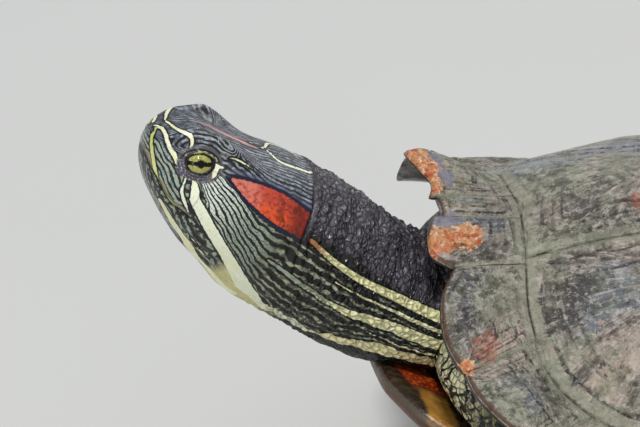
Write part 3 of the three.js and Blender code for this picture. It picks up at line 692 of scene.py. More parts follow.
# -------------------------------------------------------------------------------- the skin's shape
def head_and_neck():
    """The closed tube of the head and neck with its relief: points, faces, s, phi and bare points."""
    s = np.concatenate([np.arange(NECK_START, -56, 1.0), np.arange(-56, -2, 0.55), np.arange(-2, 24, 0.5),
                        np.arange(24, 41.5, 0.3), [41.6]])
    half = np.concatenate([np.linspace(0, 35, 14, False), np.linspace(35, 85, 48, False),
                           np.linspace(85, 130, 30, False), np.linspace(130, 180, 18, False)])
    phi = np.concatenate([half, [180], -half[:0:-1]])
    rows, columns = len(s), len(phi)
    ss, pp = (v.ravel() for v in np.meshgrid(s, phi, indexing="ij"))
    bare = tube_point(ss, pp)
    grid = bare.reshape(rows, columns, 3)
    across = np.roll(grid, -1, axis=1) - np.roll(grid, 1, axis=1)
    normal = unit(np.cross(across, np.gradient(grid, axis=0)) + 1e-12).reshape(-1, 3)
    centre = tube_frame(ss)[0]
    normal *= np.sign(((bare - centre) * normal).sum(1, keepdims=True) + 1e-9)

    side_mm = np.abs(pp)
    from_fold = fold_gap(ss, pp, bare)
    top_and_sides = 1 - ramp(side_mm, 84, 112)
    lift = (-0.95 * bell(from_fold, 0, 0.36) + 0.25 * bell(from_fold, 0.9, 0.6) + 0.55 * bell(from_fold,
            -1.1, 0.6)
            - 0.45 * bell(from_fold, -2.7, 0.5) + 0.3 * bell(from_fold, -3.9, 0.6)) * top_and_sides
    # the mouth: a groove under the upper beak's overhang
    height = tube_section(ss, pp)[1] - mouth_of(ss)
    gape = ramp(ss, 23.5, 27)
    tip = 1 - ramp(ss, 36.8, 39.6)
    lift += gape * tip * (-0.6 * bell(height, -0.1, 0.4) + 0.22 * bell(height, 0.8, 0.6) * ramp(ss, 27, 33))
    # the ear drum
    ear = np.hypot(ss - 6.5, (side_mm - 92) * 0.28)
    lift += 0.3 * (1 - ramp(ear, 3.2, 4.4)) - 0.22 * bell(ear, 4.4, 0.5)
    # soft folds along the throat
    throat = ramp(side_mm, 118, 140) * (1 - ramp(ss, 20, 30))
    lift += 0.28 * throat * np.sin(side_mm * 0.55 + 2 * noise(bare, 9, 6)) * ramp(ss, -60, -20)
    points = bare + normal * lift[:, None]
    head = (points - HEAD_AT) @ HEAD_TURN
    for side in (1, -1):
        pit = np.linalg.norm(head - np.array([41.2, 1.7 * side, 9.9]), axis=1)
        points -= normal * (0.8 * bell(pit, 0, 0.5) - 0.2 * bell(pit, 0.95, 0.35))[:, None]
    points = with_eyes(points)
    caps = np.array([points[:columns].mean(0), points[-columns:].mean(0)])
    points = np.vstack([points, caps])
    ss, pp = np.append(ss, (s[0], s[-1])), np.append(pp, (0, 0))
    return points, tube_faces(rows, columns), ss, pp, np.vstack([bare, caps])


def limb(stops, sides=40, step=2.0):
    """A closed tube through stops of (x, y, z, half width, half height, roll in degrees)."""
    stops = np.array([tuple(st) + (0,) * (6 - len(st)) for st in stops], float)
    reach = reach_along(stops[:, :3])
    at = np.linspace(0, reach[-1], max(int(reach[-1] / step), 6))
    x, y, z, wide, high, roll = (curve(*zip(reach, stops[:, k]))(at) for k in range(6))
    line = np.stack([x, y, z], axis=1)
    forward = unit(np.gradient(line, axis=0))
    level, up = directions_across(forward)
    roll = np.radians(roll)[:, None]
    across = level * np.cos(roll) + up * np.sin(roll)
    up = np.cross(forward, across)
    turn = np.linspace(0, 2 * np.pi, sides, False)[None, :, None]
    rings = line[:, None] + (across * wide[:, None])[:, None] * np.sin(turn) + (up * high[:, None])[:,
            None] * np.cos(turn)
    points = np.vstack([rings.reshape(-1, 3), line[0], line[-1]])
    return points, tube_faces(len(at), sides), line


FORE_TOES = {"toes": 5, "length": 17.0, "thick": 2.5, "spread": 24, "sole": 17.0, "sole_half": 13.0}
HIND_TOES = {"toes": 4, "length": 17.0, "thick": 2.7, "spread": 18, "sole": 25.0, "sole_half": 14.0}
HIND_STOPS = ((44, 26, 28, 17, 13), (40, 52, 27, 17, 12), (45, 78, 21, 15, 11, 10), (32, 93, 13, 10, 9),
              (16, 100, 7, 8, 6))
LEGS = {
    "foreleg_left": (FORE_TOES, 22, ((146, 26, 72, 17, 17), (163, 47, 67, 17, 16), (178, 72, 47, 13, 12),
                                     (184, 86, 24, 10, 9), (188, 90, 8, 9, 7))),
    "foreleg_right": (FORE_TOES, -68, ((146, -26, 72, 17, 17), (160, -47, 67, 17, 16),
                                       (166, -74, 48, 13, 12),
                                       (158, -89, 24, 10, 9), (152, -94, 8, 9, 7))),
    "hindleg_left": (HIND_TOES, 152, HIND_STOPS),
    "hindleg_right": (HIND_TOES, -152,
                      tuple((s[0], -s[1]) + s[2:5] + (-(s + (0,))[5],) for s in HIND_STOPS)),
}
# The loose skin that fills the shell's front opening beside the neck.
SHOULDER_STOPS = ((169, -12, 74, 12, 8.5), (172, 4, 75, 15.5, 10.5), (172, 20, 74.5, 15.5, 11.5),
                  (168, 34, 72, 14, 12.5),
                  (164, 46, 68, 13, 12))
TAIL_STOPS = ((16, 0, 17, 12, 9), (-6, 1, 13, 9, 7.5), (-24, 5, 7, 5.5, 5), (-42, 12, 2.6, 2.2, 2.4),
              (-50, 17, 1.3, 0.9, 1.1))


def level_heading(degrees):
    return np.array([math.cos(math.radians(degrees)), math.sin(math.radians(degrees)), 0])


def toes_of(leg):
    """Root, heading and length of each toe of a leg."""
    kind, heading, stops = LEGS[leg]
    ankle = np.array(stops[-1][:3], float)
    out = level_heading(heading)
    across = np.array([-out[1], out[0], 0])
    for i in range(kind["toes"]):
        share = i / (kind["toes"] - 1)
        shift = (2 * share - 1) * kind["sole_half"] * 0.72
        root = ankle * (1, 1, 0) + out * kind["sole"] * 0.72 + across * shift
        turn = heading + mix(-kind["spread"], kind["spread"], share)
        length = kind["length"] * (1 - 0.25 * abs(share - 0.5) * 2)
        yield root, level_heading(turn), length


def foot_parts(leg):
    """Closed tubes of a leg, its sole and its toes."""
    kind, heading, stops = LEGS[leg]
    yield limb(stops)
    ankle = np.array(stops[-1][:3], float)
    out = level_heading(heading)
    half, reach = kind["sole_half"], kind["sole"]
    sole = ((-0.35, 5, 7, 5), (0.2, 3.4, half * 0.8, 3.4), (0.7, 2.2, half, 2.2),
            (1.0, 1.7, half * 0.92, 1.5))
    yield limb([tuple(ankle * (1, 1, 0) + out * reach * a + (0, 0, z)) + (w, h) for a, z, w, h in sole],
               step=1.5)
    thick = kind["thick"]
    for root, aim, length in toes_of(leg):
        knots = ((-0.45, thick * 1.5, thick * 0.9), (0.0, thick * 1.25, thick),
                 (0.35, thick * 0.98, thick * 0.92), (0.62, thick * 0.8, thick * 0.72))
        yield limb([tuple(root + aim * length * a + (0, 0, z)) + (w, w * 0.95) for a, z, w in knots],
                   sides=16, step=1.0)


def joined(parts):
    points, faces, start = [], [], 0
    for part in parts:
        points.append(part[0])
        faces += [[i + start for i in face] for face in part[1]]
        start += len(part[0])
    return np.vstack(points), faces


def trunk():
    """The body between the shells, a little inside them."""
    degrees = np.arange(0, 360, 5.0)
    inset = np.interp(np.abs((degrees + 180) % 360 - 180), (0, 35, 60, 110, 150, 180),
                      (19, 19, 24, 24, 21, 21))
    reach = oval_radius(degrees) - inset
    outline = np.stack([reach * np.cos(np.radians(degrees)), reach * np.sin(np.radians(degrees))], axis=1)
    rings = np.linspace(0.08, 1, 16)
    flat = (rings[:, None, None] * outline[None]).reshape(-1, 2)
    over = carapace_top(flat[:, 0], flat[:, 1]) - SCUTE_THICKNESS - 1.8
    under = plastron_top(flat[:, 0], flat[:, 1]) + 0.8
    top = np.column_stack([flat, over])
    low = np.column_stack([flat, under]).reshape(len(rings), -1, 3)[::-1].reshape(-1, 3)
    middle = carapace_top(np.zeros(1), np.zeros(1))[0] - SCUTE_THICKNESS - 1.8
    caps = np.array([[0, 0, middle], [0, 0, plastron_top(np.zeros(1), np.zeros(1))[0] + 0.8]])
    points = from_shell(np.vstack([top, low, caps]))
    return points, [f[::-1] for f in tube_faces(2 * len(rings), len(degrees))]


def with_modifier(target, kind, **settings):
    modifier = target.modifiers.new(kind.title(), kind)
    for key, value in settings.items():
        setattr(modifier, key, value)
    return evaluated(target, target.name)


def united(first, second):
    """One closed surface round two closed objects; the second goes."""
    made = with_modifier(first, "BOOLEAN", operation="UNION", object=second, solver="MANIFOLD")
    bpy.data.objects.remove(second)
    if not len(made.data.polygons):
        raise RuntimeError("the pieces of the skin could not be joined")
    return made


def nearest(points, references):
    tree = KDTree(len(references))
    for i, p in enumerate(references.tolist()):
        tree.insert(p, i)
    tree.balance()
    found = [tree.find(p)[1:] for p in points.tolist()]
    return np.array([f[0] for f in found]), np.array([f[1] for f in found])


LIMB_GRID = 1.15  # mm between the points of the limbs


def skin_surface():
    """The whole skin as one closed mesh, and the nearest place of the bare head and neck to each point."""
    tube = head_and_neck()
    shoulders = [limb([(x, side * y, z, wide, high) for x, y, z, wide,
                       high in SHOULDER_STOPS]) for side in (1, -1)]
    body, body_faces = joined([part for leg in LEGS for part in foot_parts(leg)] + [limb(TAIL_STOPS,
            24)] + shoulders)
    legs = with_modifier(new_mesh("legs", body, body_faces), "REMESH", mode="VOXEL",
                         voxel_size=LIMB_GRID * MM)
    relax(legs.data, np.ones(len(legs.data.vertices)), 3)
    head = new_mesh("skin", tube[0], tube[1])
    core = new_mesh("trunk", *trunk())
    skin = united(united(head, legs), core)
    points = points_of(skin.data)
    index, away = nearest(points, tube[0])
    s, phi, bare = tube[2][index], tube[3][index], tube[4][index]
    return skin, points, s, phi, bare, away


def limb_lines():
    """The middle lines of the legs and tail, for placing their scales and stripes."""
    return {leg: limb(LEGS[leg][2])[2] for leg in LEGS} | {"tail": limb(TAIL_STOPS)[2]}


def around_limbs(points):
    """For each point the angle round its nearest limb from straight up."""
    best = np.full(len(points), 1e9)
    angle = np.zeros(len(points))
    for line in limb_lines().values():
        d = np.linalg.norm(points[:, None] - line[None], axis=2)
        i = d.argmin(axis=1)
        gap = d[np.arange(len(points)), i]
        closer = gap < best
        forward = unit(np.gradient(line, axis=0))[i]
        level, up = directions_across(forward)
        out = points - line[i]
        turn = np.arctan2(np.abs((out * level).sum(1)), (out * up).sum(1))
        angle = np.where(closer, turn, angle)
        best = np.minimum(best, gap)
    return angle


def plateau(first, second, width=0.3):
    return ramp(second - first, 0, width)


NECK_RADIUS = 17.5
# raised granules in mm, along and round the neck, and on the limbs
NAPE_GRANULE, FLANK_GRANULE, LIMB_GRANULE = (1.75, 3.2), (2.3, 1.9), 2.3
FOLD_SPACING, WRINKLE_SPACING, ROLL_SPACING = 7.5, 2.6, 2.5
LEAST_HEIGHT = 0.02  # of the skin above the floor


def scaled_skin(skin, points, s, phi, bare, away):
    """Relaxes the joins, raises folds, granules and scales, and stores what the colours need."""
    mesh = skin.data
    on_tube_weight = 1 - ramp(away, 0.3, 3.0)
    side = np.abs(phi)
    soft_neck = on_tube_weight * (1 - ramp(s, -4, 0.5))
    # joins between the neck and the shoulders are evened out
    relax(mesh, bell(away, 1.2, 3.5) * (s < -24), 14)
    points = points_of(mesh)
    normals = normals_of(mesh)

    arc = np.radians(phi) * NECK_RADIUS
    wander = 1.3 * noise(bare, 6, 11)
    flat = np.zeros(len(bare))
    across = np.column_stack([(s + wander) / NAPE_GRANULE[0], arc / NAPE_GRANULE[1] + 0.3 * wander, flat])
    nape_first, nape_second = cells(across, 1.0, 3)
    beads = np.column_stack([(s + 0.4 * wander) / FLANK_GRANULE[0], arc / FLANK_GRANULE[1], flat])
    bead_first, bead_second = cells(beads, 1.0, 4)
    limb_first, limb_second = cells(points, LIMB_GRANULE, 5)
    nape = soft_neck * (1 - ramp(side, 56, 76))
    flank = soft_neck * ramp(side, 56, 76)
    legs = 1 - on_tube_weight
    folds = np.sin((s + 2.6 * noise(bare, 11, 12) - side * 0.035) * 2 * np.pi / FOLD_SPACING)
    wrinkles = np.sin((s + 1.6 * noise(bare, 5, 13) + 0.05 * side) * 2 * np.pi / WRINKLE_SPACING)
    soft = ramp(s, -62, -50) * (1 - ramp(s, -7, -2))
    lift = nape * (0.45 * plateau(nape_first, nape_second,
                                  0.4) - 0.3 + (0.5 * folds + 0.22 * wrinkles) * soft)
    lift += flank * (0.4 * plateau(bead_first, bead_second) - 0.25 + 0.15 * folds * soft)
    # rolls of loose skin at the back of the nape, rounded with sharp valleys
    loose = nape * ramp(s, -56, -46) * (1 - ramp(s, -24, -17)) * (1 - ramp(side, 46, 60)) * ramp(side, 4,
            24)
    roll = np.abs(np.sin((0.75 * s + 0.65 * np.abs(arc) + 3.2 * noise(bare, 8, 14)) * np.pi / ROLL_SPACING))
    lift += loose * 0.55 * (roll - 0.5)
    lift += legs * (0.4 * plateau(limb_first, limb_second, 0.25) - 0.2)
    low = points[:, 2] < 1.2
    lift = np.where(low & (legs > 0.5), np.minimum(lift, 0), lift)
    points += normals * lift[:, None]
    points[:, 2] = np.maximum(points[:, 2], LEAST_HEIGHT)
    set_points(mesh, points)

    fields = stripe_fields(bare)
    fields["pale"] = mix(fields["pale"], 3.0, ramp(away, 0.8, 3.5))
    angle = around_limbs(points)
    fold = fold_gap(s, phi, bare)
    low_side = ramp(side, 80, 96)
    behind = on_tube_weight * mix(1 - ramp(fold, -0.25, 0.05), 1 - ramp(s, -14, -4), low_side)
    scaly = on_tube_weight * mix(1 - ramp(fold, -0.9, -0.3), 1 - ramp(s, -9, 1), low_side)
    upper, lower = fan_upper(s), fan_lower(s)
    fan = (side - upper) / (lower - upper) * FAN_LINES
    below = (side - lower) / np.maximum(180 - lower, 20) * 9 + FAN_LINES + 0.5
    over = side * 0.25
    eye_rho, eye_ahead, eye_up, lids = np.full(len(points), 30.0), legs * 0, legs * 0, np.full(len(points),
            -9.0)
    for turn in (1, -1):
        a, b, c = eye_frame(points, turn)
        rho = np.hypot(a, b)
        near = (c > -3) & (rho < np.minimum(eye_rho, 22))
        lids = np.where(near & (rho < 9), lid_edge(a, b), lids)
        eye_rho, eye_ahead, eye_up = (np.where(near, new, old) for new,
                                      old in ((rho, eye_rho), (a, eye_ahead), (b, eye_up)))
    round_brow = (1 - ramp(eye_rho, 7.5, 11)) * ramp(eye_up, 2, 4.5)
    line = np.where(side < upper, mix(over, eye_rho * 0.95 + 8, round_brow),
                    np.where(side > lower, below, fan))
    beak = ((bare - HEAD_AT) @ HEAD_TURN)[:, 2] - mouth_of(s)
    snout = on_tube_weight * ramp(s, 28, 30) * ramp(side, 66, 74) * ramp(beak, 0.4, 0.9)
    line = mix(line, beak * 0.8 - 0.02 * s, snout > 0.02)
    fields |= {
        "snout": snout, "s": s, "arc": np.abs(arc), "side": side, "fold": np.where(side < 96, fold, 9),
        "neck": behind, "scaly": np.maximum(scaly, legs),
        "nape": behind * (1 - ramp(side, 58, 74)), "legs": legs,
        # the valleys between the nape's rolls, where painted shade goes
        "valley": loose * (1 - ramp(roll, 0.2, 0.5)),
        "line": mix(line, angle * 2.6 + 0.3, legs),
        "in_fan": on_tube_weight * (side > upper) * (side < lower),
        "throat": on_tube_weight * ramp(side - lower, 4, 7) * (1 - ramp(s, 11, 15)) * ramp(s, -14, -5),
        "jaw": on_tube_weight * (side > lower) * ramp(s, 11, 15),
        "shoulder": legs * ramp(points[:, 2], 44, 54) * ramp(points[:, 0], 146,
                                                             154) * (1 - ramp(np.abs(points[:, 1]), 26,
                                                                     44)),
        "lid": np.clip(-lids, -1, 8), "eye_rho": eye_rho, "eye_up": eye_up, "eye_ahead": eye_ahead,
        "beak": np.where((on_tube_weight > 0.5) & (s > 14), beak, 9),
    }
    set_fields(mesh, fields)


# --------------------------------------------------------------------------------------- materials
def linear(code):
    """An sRGB hex colour as linear RGBA."""
    values = [int(code[i:i + 2], 16) / 255 for i in (1, 3, 5)]
    return tuple(v / 12.92 if v <= 0.04045 else ((v + 0.055) / 1.055) ** 2.4 for v in values) + (1.0,)


class Signal:
    """What a node gives out. Sums, differences and products of signals and numbers are nodes as well."""

    def __init__(self, socket):
        self.socket = socket

    def math(self, operation, *others):
        values = dict(enumerate((self, *others)))
        return add(self.socket.id_data, "ShaderNodeMath", values, operation=operation)

    def __add__(self, other):
        return self.math("ADD", other)

    def __sub__(self, other):
        return self.math("SUBTRACT", other)

    def __rsub__(self, other):
        return add(self.socket.id_data, "ShaderNodeMath", {0: other, 1: self}, operation="SUBTRACT")

    def __mul__(self, other):
        return self.math("MULTIPLY", other)


def add(tree, kind, inputs=None, out=0, **settings):
    """Adds a node with its settings and its inputs' values or signals, and gives one of its outputs."""
    made = tree.nodes.new(kind)
    for key, value in settings.items():
        setattr(made, key, value)
    for key, value in (inputs or {}).items():
        if isinstance(value, Signal):
            tree.links.new(value.socket, made.inputs[key])
        else:
            made.inputs[key].default_value = value
    return Signal(made.outputs[out]) if made.outputs else None


def rising(value, low, high, bottom=0.0, top=1.0):
    """A smooth step of a signal, from bottom at low to top at high."""
    if low > high:
        low, high, bottom, top = high, low, top, bottom
    limits = {0: value, 1: low, 2: high, 3: bottom, 4: top}
    return add(value.socket.id_data, "ShaderNodeMapRange", limits, interpolation_type="SMOOTHSTEP")


class Paint:
    """A material in the making, with the fields and noises that its colours are worked out from."""

    def __init__(self, name, colours=None):
        self.material = bpy.data.materials.new(name)
        self.material.use_nodes = True
        self.tree = self.material.node_tree
        self.tree.nodes.clear()
        self.colours = colours
        self.place = self.add("ShaderNodeTexCoord", out="Object")

    def add(self, kind, inputs=None, out=0, **settings):
        return add(self.tree, kind, inputs, out, **settings)

    def field(self, name):
        """A number stored on the mesh."""
        return self.add("ShaderNodeAttribute", out="Fac", attribute_name=name)

    def fields(self, names):
        return [self.field(name) for name in names.split()]

    def within(self, name, full, none, wobble=None, amount=0.0):
        """A mask from a stored field: 1 up to full, falling to 0 at none, its edge moved by a wobble."""
        value = self.field(name)
        if wobble is not None:
            value = wobble * amount + value
        return rising(value, none, full)

    def speckle(self, size_mm, detail=3.0, rough=0.55, stretch=(1, 1, 1)):
        """Cloudy noise from 0 to 1 with features of size_mm, longer where stretch is above 1."""
        scale = tuple(1 / (size_mm * MM * k) for k in stretch)
        moved = self.add("ShaderNodeMapping", {"Vector": self.place, "Scale": scale}, vector_type="POINT")
        noisy = {"Vector": moved, "Scale": 1.0, "Detail": detail, "Roughness": rough}
        return self.add("ShaderNodeTexNoise", noisy)

    def cracks(self, vector, scale=1.0):
        """How far a place is from the borders of scattered cells."""
        cellular = {"Vector": vector, "Scale": scale}
        return self.add("ShaderNodeTexVoronoi", cellular, feature="DISTANCE_TO_EDGE", out="Distance")

    def swirl(self, size_mm, detail):
        """Smooth random directions that change over size_mm."""
        noisy = {"Vector": self.place, "Scale": 1 / (size_mm * MM), "Detail": detail}
        return self.add("ShaderNodeTexNoise", noisy, out="Color")

    def pebbles(self, where, size_s, size_arc, wobble):
        """How deep inside its granule a place of the neck is, from 0 in the grooves; where is in mm."""
        scale = (1 / size_s, 1 / size_arc, 1.0)
        moved = self.add("ShaderNodeMapping", {"Vector": where, "Scale": scale}, vector_type="POINT")
        bent = {0: wobble, 1: (0.5, 0.5, 0.0), 2: moved}
        return self.cracks(self.add("ShaderNodeVectorMath", bent, operation="MULTIPLY_ADD"))

    def colour(self, given):
        """A signal as it is, a hex colour, or one of this material's settings by its name."""
        if isinstance(given, Signal):
            return given
        return linear(given) if given.startswith("#") else tuple(getattr(self.colours, given)) + (1.0,)

    def layered(self, base, *layers):
        """Colours painted over each other, each through its mask."""
        base = self.colour(base)
        for mask, over in layers:
            blend = {0: mask, 6: base, 7: self.colour(over)}
            base = self.add("ShaderNodeMix", blend, out=2, data_type="RGBA")
        return base

    def finished(self, colour, roughness, height, relief_mm, **constants):
        """The material with its colour, its roughness and a bump of a height that is relief_mm deep."""
        bump = {"Strength": 1.0, "Distance": relief_mm * MM, "Height": height}
        surface = {"Base Color": colour, "Roughness": roughness, "Normal": self.add("ShaderNodeBump", bump)}
        shader = self.add("ShaderNodeBsdfPrincipled", surface | constants)
        self.add("ShaderNodeOutputMaterial", {"Surface": shader})
        return self.material


# painted granules in mm, along and round the neck, and on the limbs
NAPE_PEBBLE, FLANK_PEBBLE, LIMB_PEBBLE = (1.15, 2.0), (1.9, 1.5), 1.7
LID_FOLDS = 0.6  # mm between the painted folds of the lower lid


def wet_hide(colours):
    """Wet reptile hide: pebbled granules with painted shade in their grooves, dark and pale lines, and small
    broken painted glints.
    """
    paint = Paint("wet_striped_hide", colours)
    wave = paint.speckle(3.0, 2) - 0.5
    fine = paint.speckle(0.8, 3) - 0.5
    grit = paint.speckle(0.45, 2)
    broad = paint.speckle(9.0, 3)
    s, side, neck, legs, nape, in_fan = paint.fields("s side neck legs nape in_fan")
    eye_rho, eye_up, eye_ahead, lid, shoulder = paint.fields("eye_rho eye_up eye_ahead lid shoulder")
    on_head = (1 - neck) * (1 - legs)
    crown = rising(side, 78.0, 62.0) * on_head * (1 - in_fan)
    # granules of the neck, on its own (along, around) coordinates in mm
    along = paint.add("ShaderNodeCombineXYZ", {0: s, 1: paint.field("arc")})
    jitter = paint.swirl(4.0, 2.0)
    nape_pebble = paint.pebbles(along, *NAPE_PEBBLE, jitter)
    side_pebble = paint.pebbles(along, *FLANK_PEBBLE, jitter)
    leg_pebble = paint.cracks(paint.place, 1 / (LIMB_PEBBLE * MM))
    pebble = paint.add("ShaderNodeMix", {0: nape, 2: side_pebble, 3: nape_pebble})
    pebble = paint.add("ShaderNodeMix", {0: legs, 2: pebble, 3: leg_pebble})
    scaly = paint.field("scaly")
    # painted shade: dark in the grooves between the granules and in the valleys of the rolls
    shaded_groove = rising(pebble, 0.13, 0.03) * scaly
    shaded_groove = shaded_groove.math("MAXIMUM", paint.field("valley"))
    dome = rising(pebble, 0.0, 0.32) * scaly
    # the fine lines: a phase that is whole at each line's middle
    drift = paint.speckle(5.0, 2)
    phase = (drift - 0.5) * 1.7 + paint.field("line")
    phase = wave * 0.45 + phase
    phase = fine * 0.16 + phase
    off = (phase + 0.5).math("FRACT")
    off = (off - 0.5).math("ABSOLUTE")
    uneven = paint.speckle(2.2, 2) * 0.3 - 0.15
    off = off + uneven
    thin_gap = rising(off, 0.3, 0.2)  # pale nearly everywhere, with thin dark lines
    half_gap = rising(off, 0.31, 0.23)
    thin_line = rising(off, 0.22, 0.13)
    dashes = rising(paint.speckle(3.2, 2), 0.42, 0.56)
    split = rising(off, 0.05, 0.0) * rising(broad, 0.46, 0.54)
    # the head's top: a blue-grey that changes from line to line, with painted highlights
    crown_pale = paint.layered("crown", (rising(paint.speckle(1.6, 3), 0.42, 0.62), "crown_line"),
        (rising(grit, 0.58, 0.7) * 0.5, "crown_painted_highlight"),
        (rising(eye_rho, 12.0, 7.0) * rising(off, 0.12, 0.04) * rising(eye_ahead, 0.0, -3.0) * dashes
                * 0.7, "temple_line"))
    crown_colour = paint.layered("ground", (thin_gap, crown_pale))
    near_eye = rising(eye_rho, 20.0, 9.0)
    cheek_pale = paint.layered("cheek_far", (near_eye, "cheek_line"),
        (rising(grit, 0.5, 0.62) * 0.55, "ground"))
    throat_pale = paint.layered("throat", (rising(broad, 0.4, 0.6) * 0.3, "#a39a6c"),
        (rising(grit, 0.56, 0.68) * 0.35, "#6b6440"))
    snout_pale = paint.layered("teal", (rising(paint.speckle(1.8, 2), 0.42, 0.58), "cheek_far"),
        (rising(grit, 0.5, 0.64) * 0.6, "cheek_line"))
    swerve = paint.swirl(7.0, 1.0)
    bent = paint.add("ShaderNodeVectorMath", {0: swerve, 1: (0.008, 0.008, 0.008), 2: paint.place},
        operation="MULTIPLY_ADD")
    net = paint.cracks(bent, 1 / (4.6 * MM))
    net = rising(fine * 0.2 + net, 0.06, 0.1)
    # the ground pattern of the head, neck and legs, last the lavender edge above the ear patch
    painted = paint.layered("ground", (crown, crown_colour),
        (half_gap * in_fan * rising(s, 2.0, 12.0) * (split * -0.85 + 1.0), cheek_pale),
        (thin_line * in_fan * rising(s, 12.0, 2.0) * rising(dashes, 0.0, 0.5, 0.35), "neck_line"),
        (half_gap * paint.field("snout") * 0.9, snout_pale),
        (rising(off, 0.3, 0.2) * paint.field("jaw") * rising(paint.speckle(1.4, 2), 0.42, 0.56),
            "cheek_far"), (paint.field("throat"), throat_pale),
        (nape * rising(side, 76.0, 66.0), "nape"), (legs * rising(broad, 0.4, 0.62) * 0.8, "#2d3027"),
        (rising(off, 0.16, 0.08) * legs * (1 - shoulder), "leg_line"), (shoulder, "ground"),
        (net * shoulder, "#fff9cc"),
        (paint.within("red", 1.7, 2.2, wave, 2.0) * rising(side, 61.0, 57.0) * on_head
                * rising(off, 0.2, 0.36, 0.85, 0.2), "lavender"))
    # granules: painted highlights on the tops of some of them and painted glints, painted shade in their
    # grooves
    granule_top_highlight = rising(paint.speckle(1.3, 1), 0.4, 0.7)
    painted_glint = rising(grit, 0.55, 0.68)
    painted = paint.layered(painted, (granule_top_highlight * dome * nape * 0.8, "#7b757f"),
        (painted_glint * dome * nape * 0.6, "#a5a1ab"), (painted_glint * dome * neck * 0.3, "#8d8a8e"),
        (shaded_groove * 0.8, "#0d0b0d"))
    # stripes with thin black borders; painted highlights on their granules' tops and painted shade in their
    # grooves, and the lowest one painted lighter toward the back, where it faces down into shade
    tone = wave * 0.8 + paint.field("tone")
    stripe = paint.layered("stripe_ivory", (rising(tone, -0.3, -0.7), "cheek_far"),
        (rising(tone, 0.0, 0.6), "stripe_yellow"), (dome * neck * 0.4, "#fffbd2"),
        (rising(tone, 0.6, 1.1), "stripe_green"), (rising(tone, 1.3, 1.7), "teal"),
        (paint.within("s", -3.0, -9.0) * neck * rising(side, 84.0, 78.0), "worn_orange"),
        (rising(s, -17.0, -23.0) * rising(side, 108.0, 114.0) * neck, "#fff4bd"),
        (shaded_groove * 0.6, "#6a6638"), (rising(grit, 0.55, 0.7) * 0.25, "#8d8a52"))
    painted = paint.layered(painted,
        (paint.within("pale", 0.3, 0.6, fine, 0.6) * (1 - paint.field("throat")), "outline"),
        (paint.within("pale", -0.07, 0.07, fine, 0.5), stripe),
        (paint.within("crown_line", 0.02, 0.2, fine, 0.3) * rising(s, 33.0, 27.0, 0.4), "crown_pink"))
    # the red patch with its navy border, ending at the crease, and painted shade along the crease
    lower_half = rising(side, 60.0, 68.0)
    red = paint.layered("red", (lower_half * 0.85, "red_bright"),
        (rising(wave * 5.0 + s, 12.0, 19.0), "red_front"),
        (rising(wave * 7.0 + s, 8.5, 3.0), "red_back"),
        (rising(paint.speckle(0.9, 4, 0.75), 0.49, 0.58) * 0.7, "#861f10"),
        (rising(paint.speckle(2.2, 4, 0.7), 0.5, 0.58) * rising(s, 15.0, 7.0) * 0.75, "#5c1a10"),
        # painted glints: sparse pale pink flecks on the wet patch, stronger toward its front
        (rising(grit, 0.6, 0.72) * rising(s, 6.0, 16.0, 0.1, 0.5), "#eab0a4"))
    ahead_of_fold = rising(paint.field("fold"), 0.05, 0.35)
    painted = paint.layered(painted, (paint.within("red", 0.7, 1.2, wave, 0.9) * ahead_of_fold, "navy"),
        (paint.within("red", -0.1, 0.1, fine, 0.9) * ahead_of_fold, red),
        # painted shade: the crease behind the head is near black
        (paint.within("fold", 0.3, 0.5, fine, 0.3) * paint.within("fold", -0.1, -0.4)
                * rising(side, 90.0, 78.0) * 0.9, "#0c0a0c"))
    # the horny beak, the lids and the corners of the eye
    beak_band = (paint.within("beak", 1.1, 1.5, wave, 0.8) * paint.within("beak", 0.1, -0.2)
                 * rising(s, 26.0, 30.0) * paint.within("pale", 0.3, 0.1) * 0.9)
    # the gape: a dark line of painted shadow under the upper beak's overhang
    gape = paint.within("beak", 0.2, 0.5) * paint.within("beak", -0.2, -0.5) * rising(s, 24.5, 27.0)
    lid_line = (fine * 5.0 + lid * (2 * math.pi / LID_FOLDS)).math("SINE")
    below_eye = rising(wave * 1.5 + eye_up, 0.9, 0.1)
    lid_reach = wave * 2.0 + lid
    lower_lid = paint.layered("lid", (rising(lid_line, 0.0, 0.8) * 0.7, "lid_fold"),
        (rising(grit, 0.55, 0.66) * rising(eye_ahead, -3.5, 3.0, 0.35, 1.0), "lid_speck"))
    upper = rising(eye_up, 0.3, 0.8)
    yellow_edge = (rising(fine * 0.5 + lid, 0.75, 0.62) * rising(lid, 0.12, 0.25) * upper
                   * rising(paint.speckle(1.5, 2), 0.46, 0.54))
    painted = paint.layered(painted, (beak_band, "beak"), (gape, "#15120f"),
        (rising(lid_reach, 2.4, 1.9) * below_eye * rising(eye_ahead, -3.4, -2.9), lower_lid),
        (rising(lid_reach, 2.4, 1.9) * below_eye * paint.within("pale", 0.3, 0.05), lower_lid),
        (rising(lid_reach, 2.1, 1.7) * upper,
            paint.layered("#4a474e", (rising(lid_line, 0.0, 0.8) * 0.6, "#1d1b20"),
                (rising(fine * 0.5 + lid, 0.7, 0.8), "#57545c"),
                (rising(lid, 0.65, 0.8) * rising(lid, 1.3, 1.05), "#141216"))),
        # painted shade: the lids' inner rim, where they meet the eyeball, is near black
        (yellow_edge, "upper_lid"), (rising(fine * 0.2 + lid, 0.12, 0.0), "#0c0b0d"))
    dry = rising(paint.speckle(5.0, 3), 0.35, 0.65, 0.2, 0.46)
    roughness = paint.add("ShaderNodeMix",
        {0: scaly, 2: dry, 3: rising(paint.speckle(3.5, 2), 0.4, 0.6, 0.14, 0.36)})
    roughness = shaded_groove * 0.2 + roughness
    line_relief = off * on_head * 0.35
    height = fine * 0.3 + line_relief + dome
    return paint.finished(painted, roughness, height, 0.34, IOR=1.42)


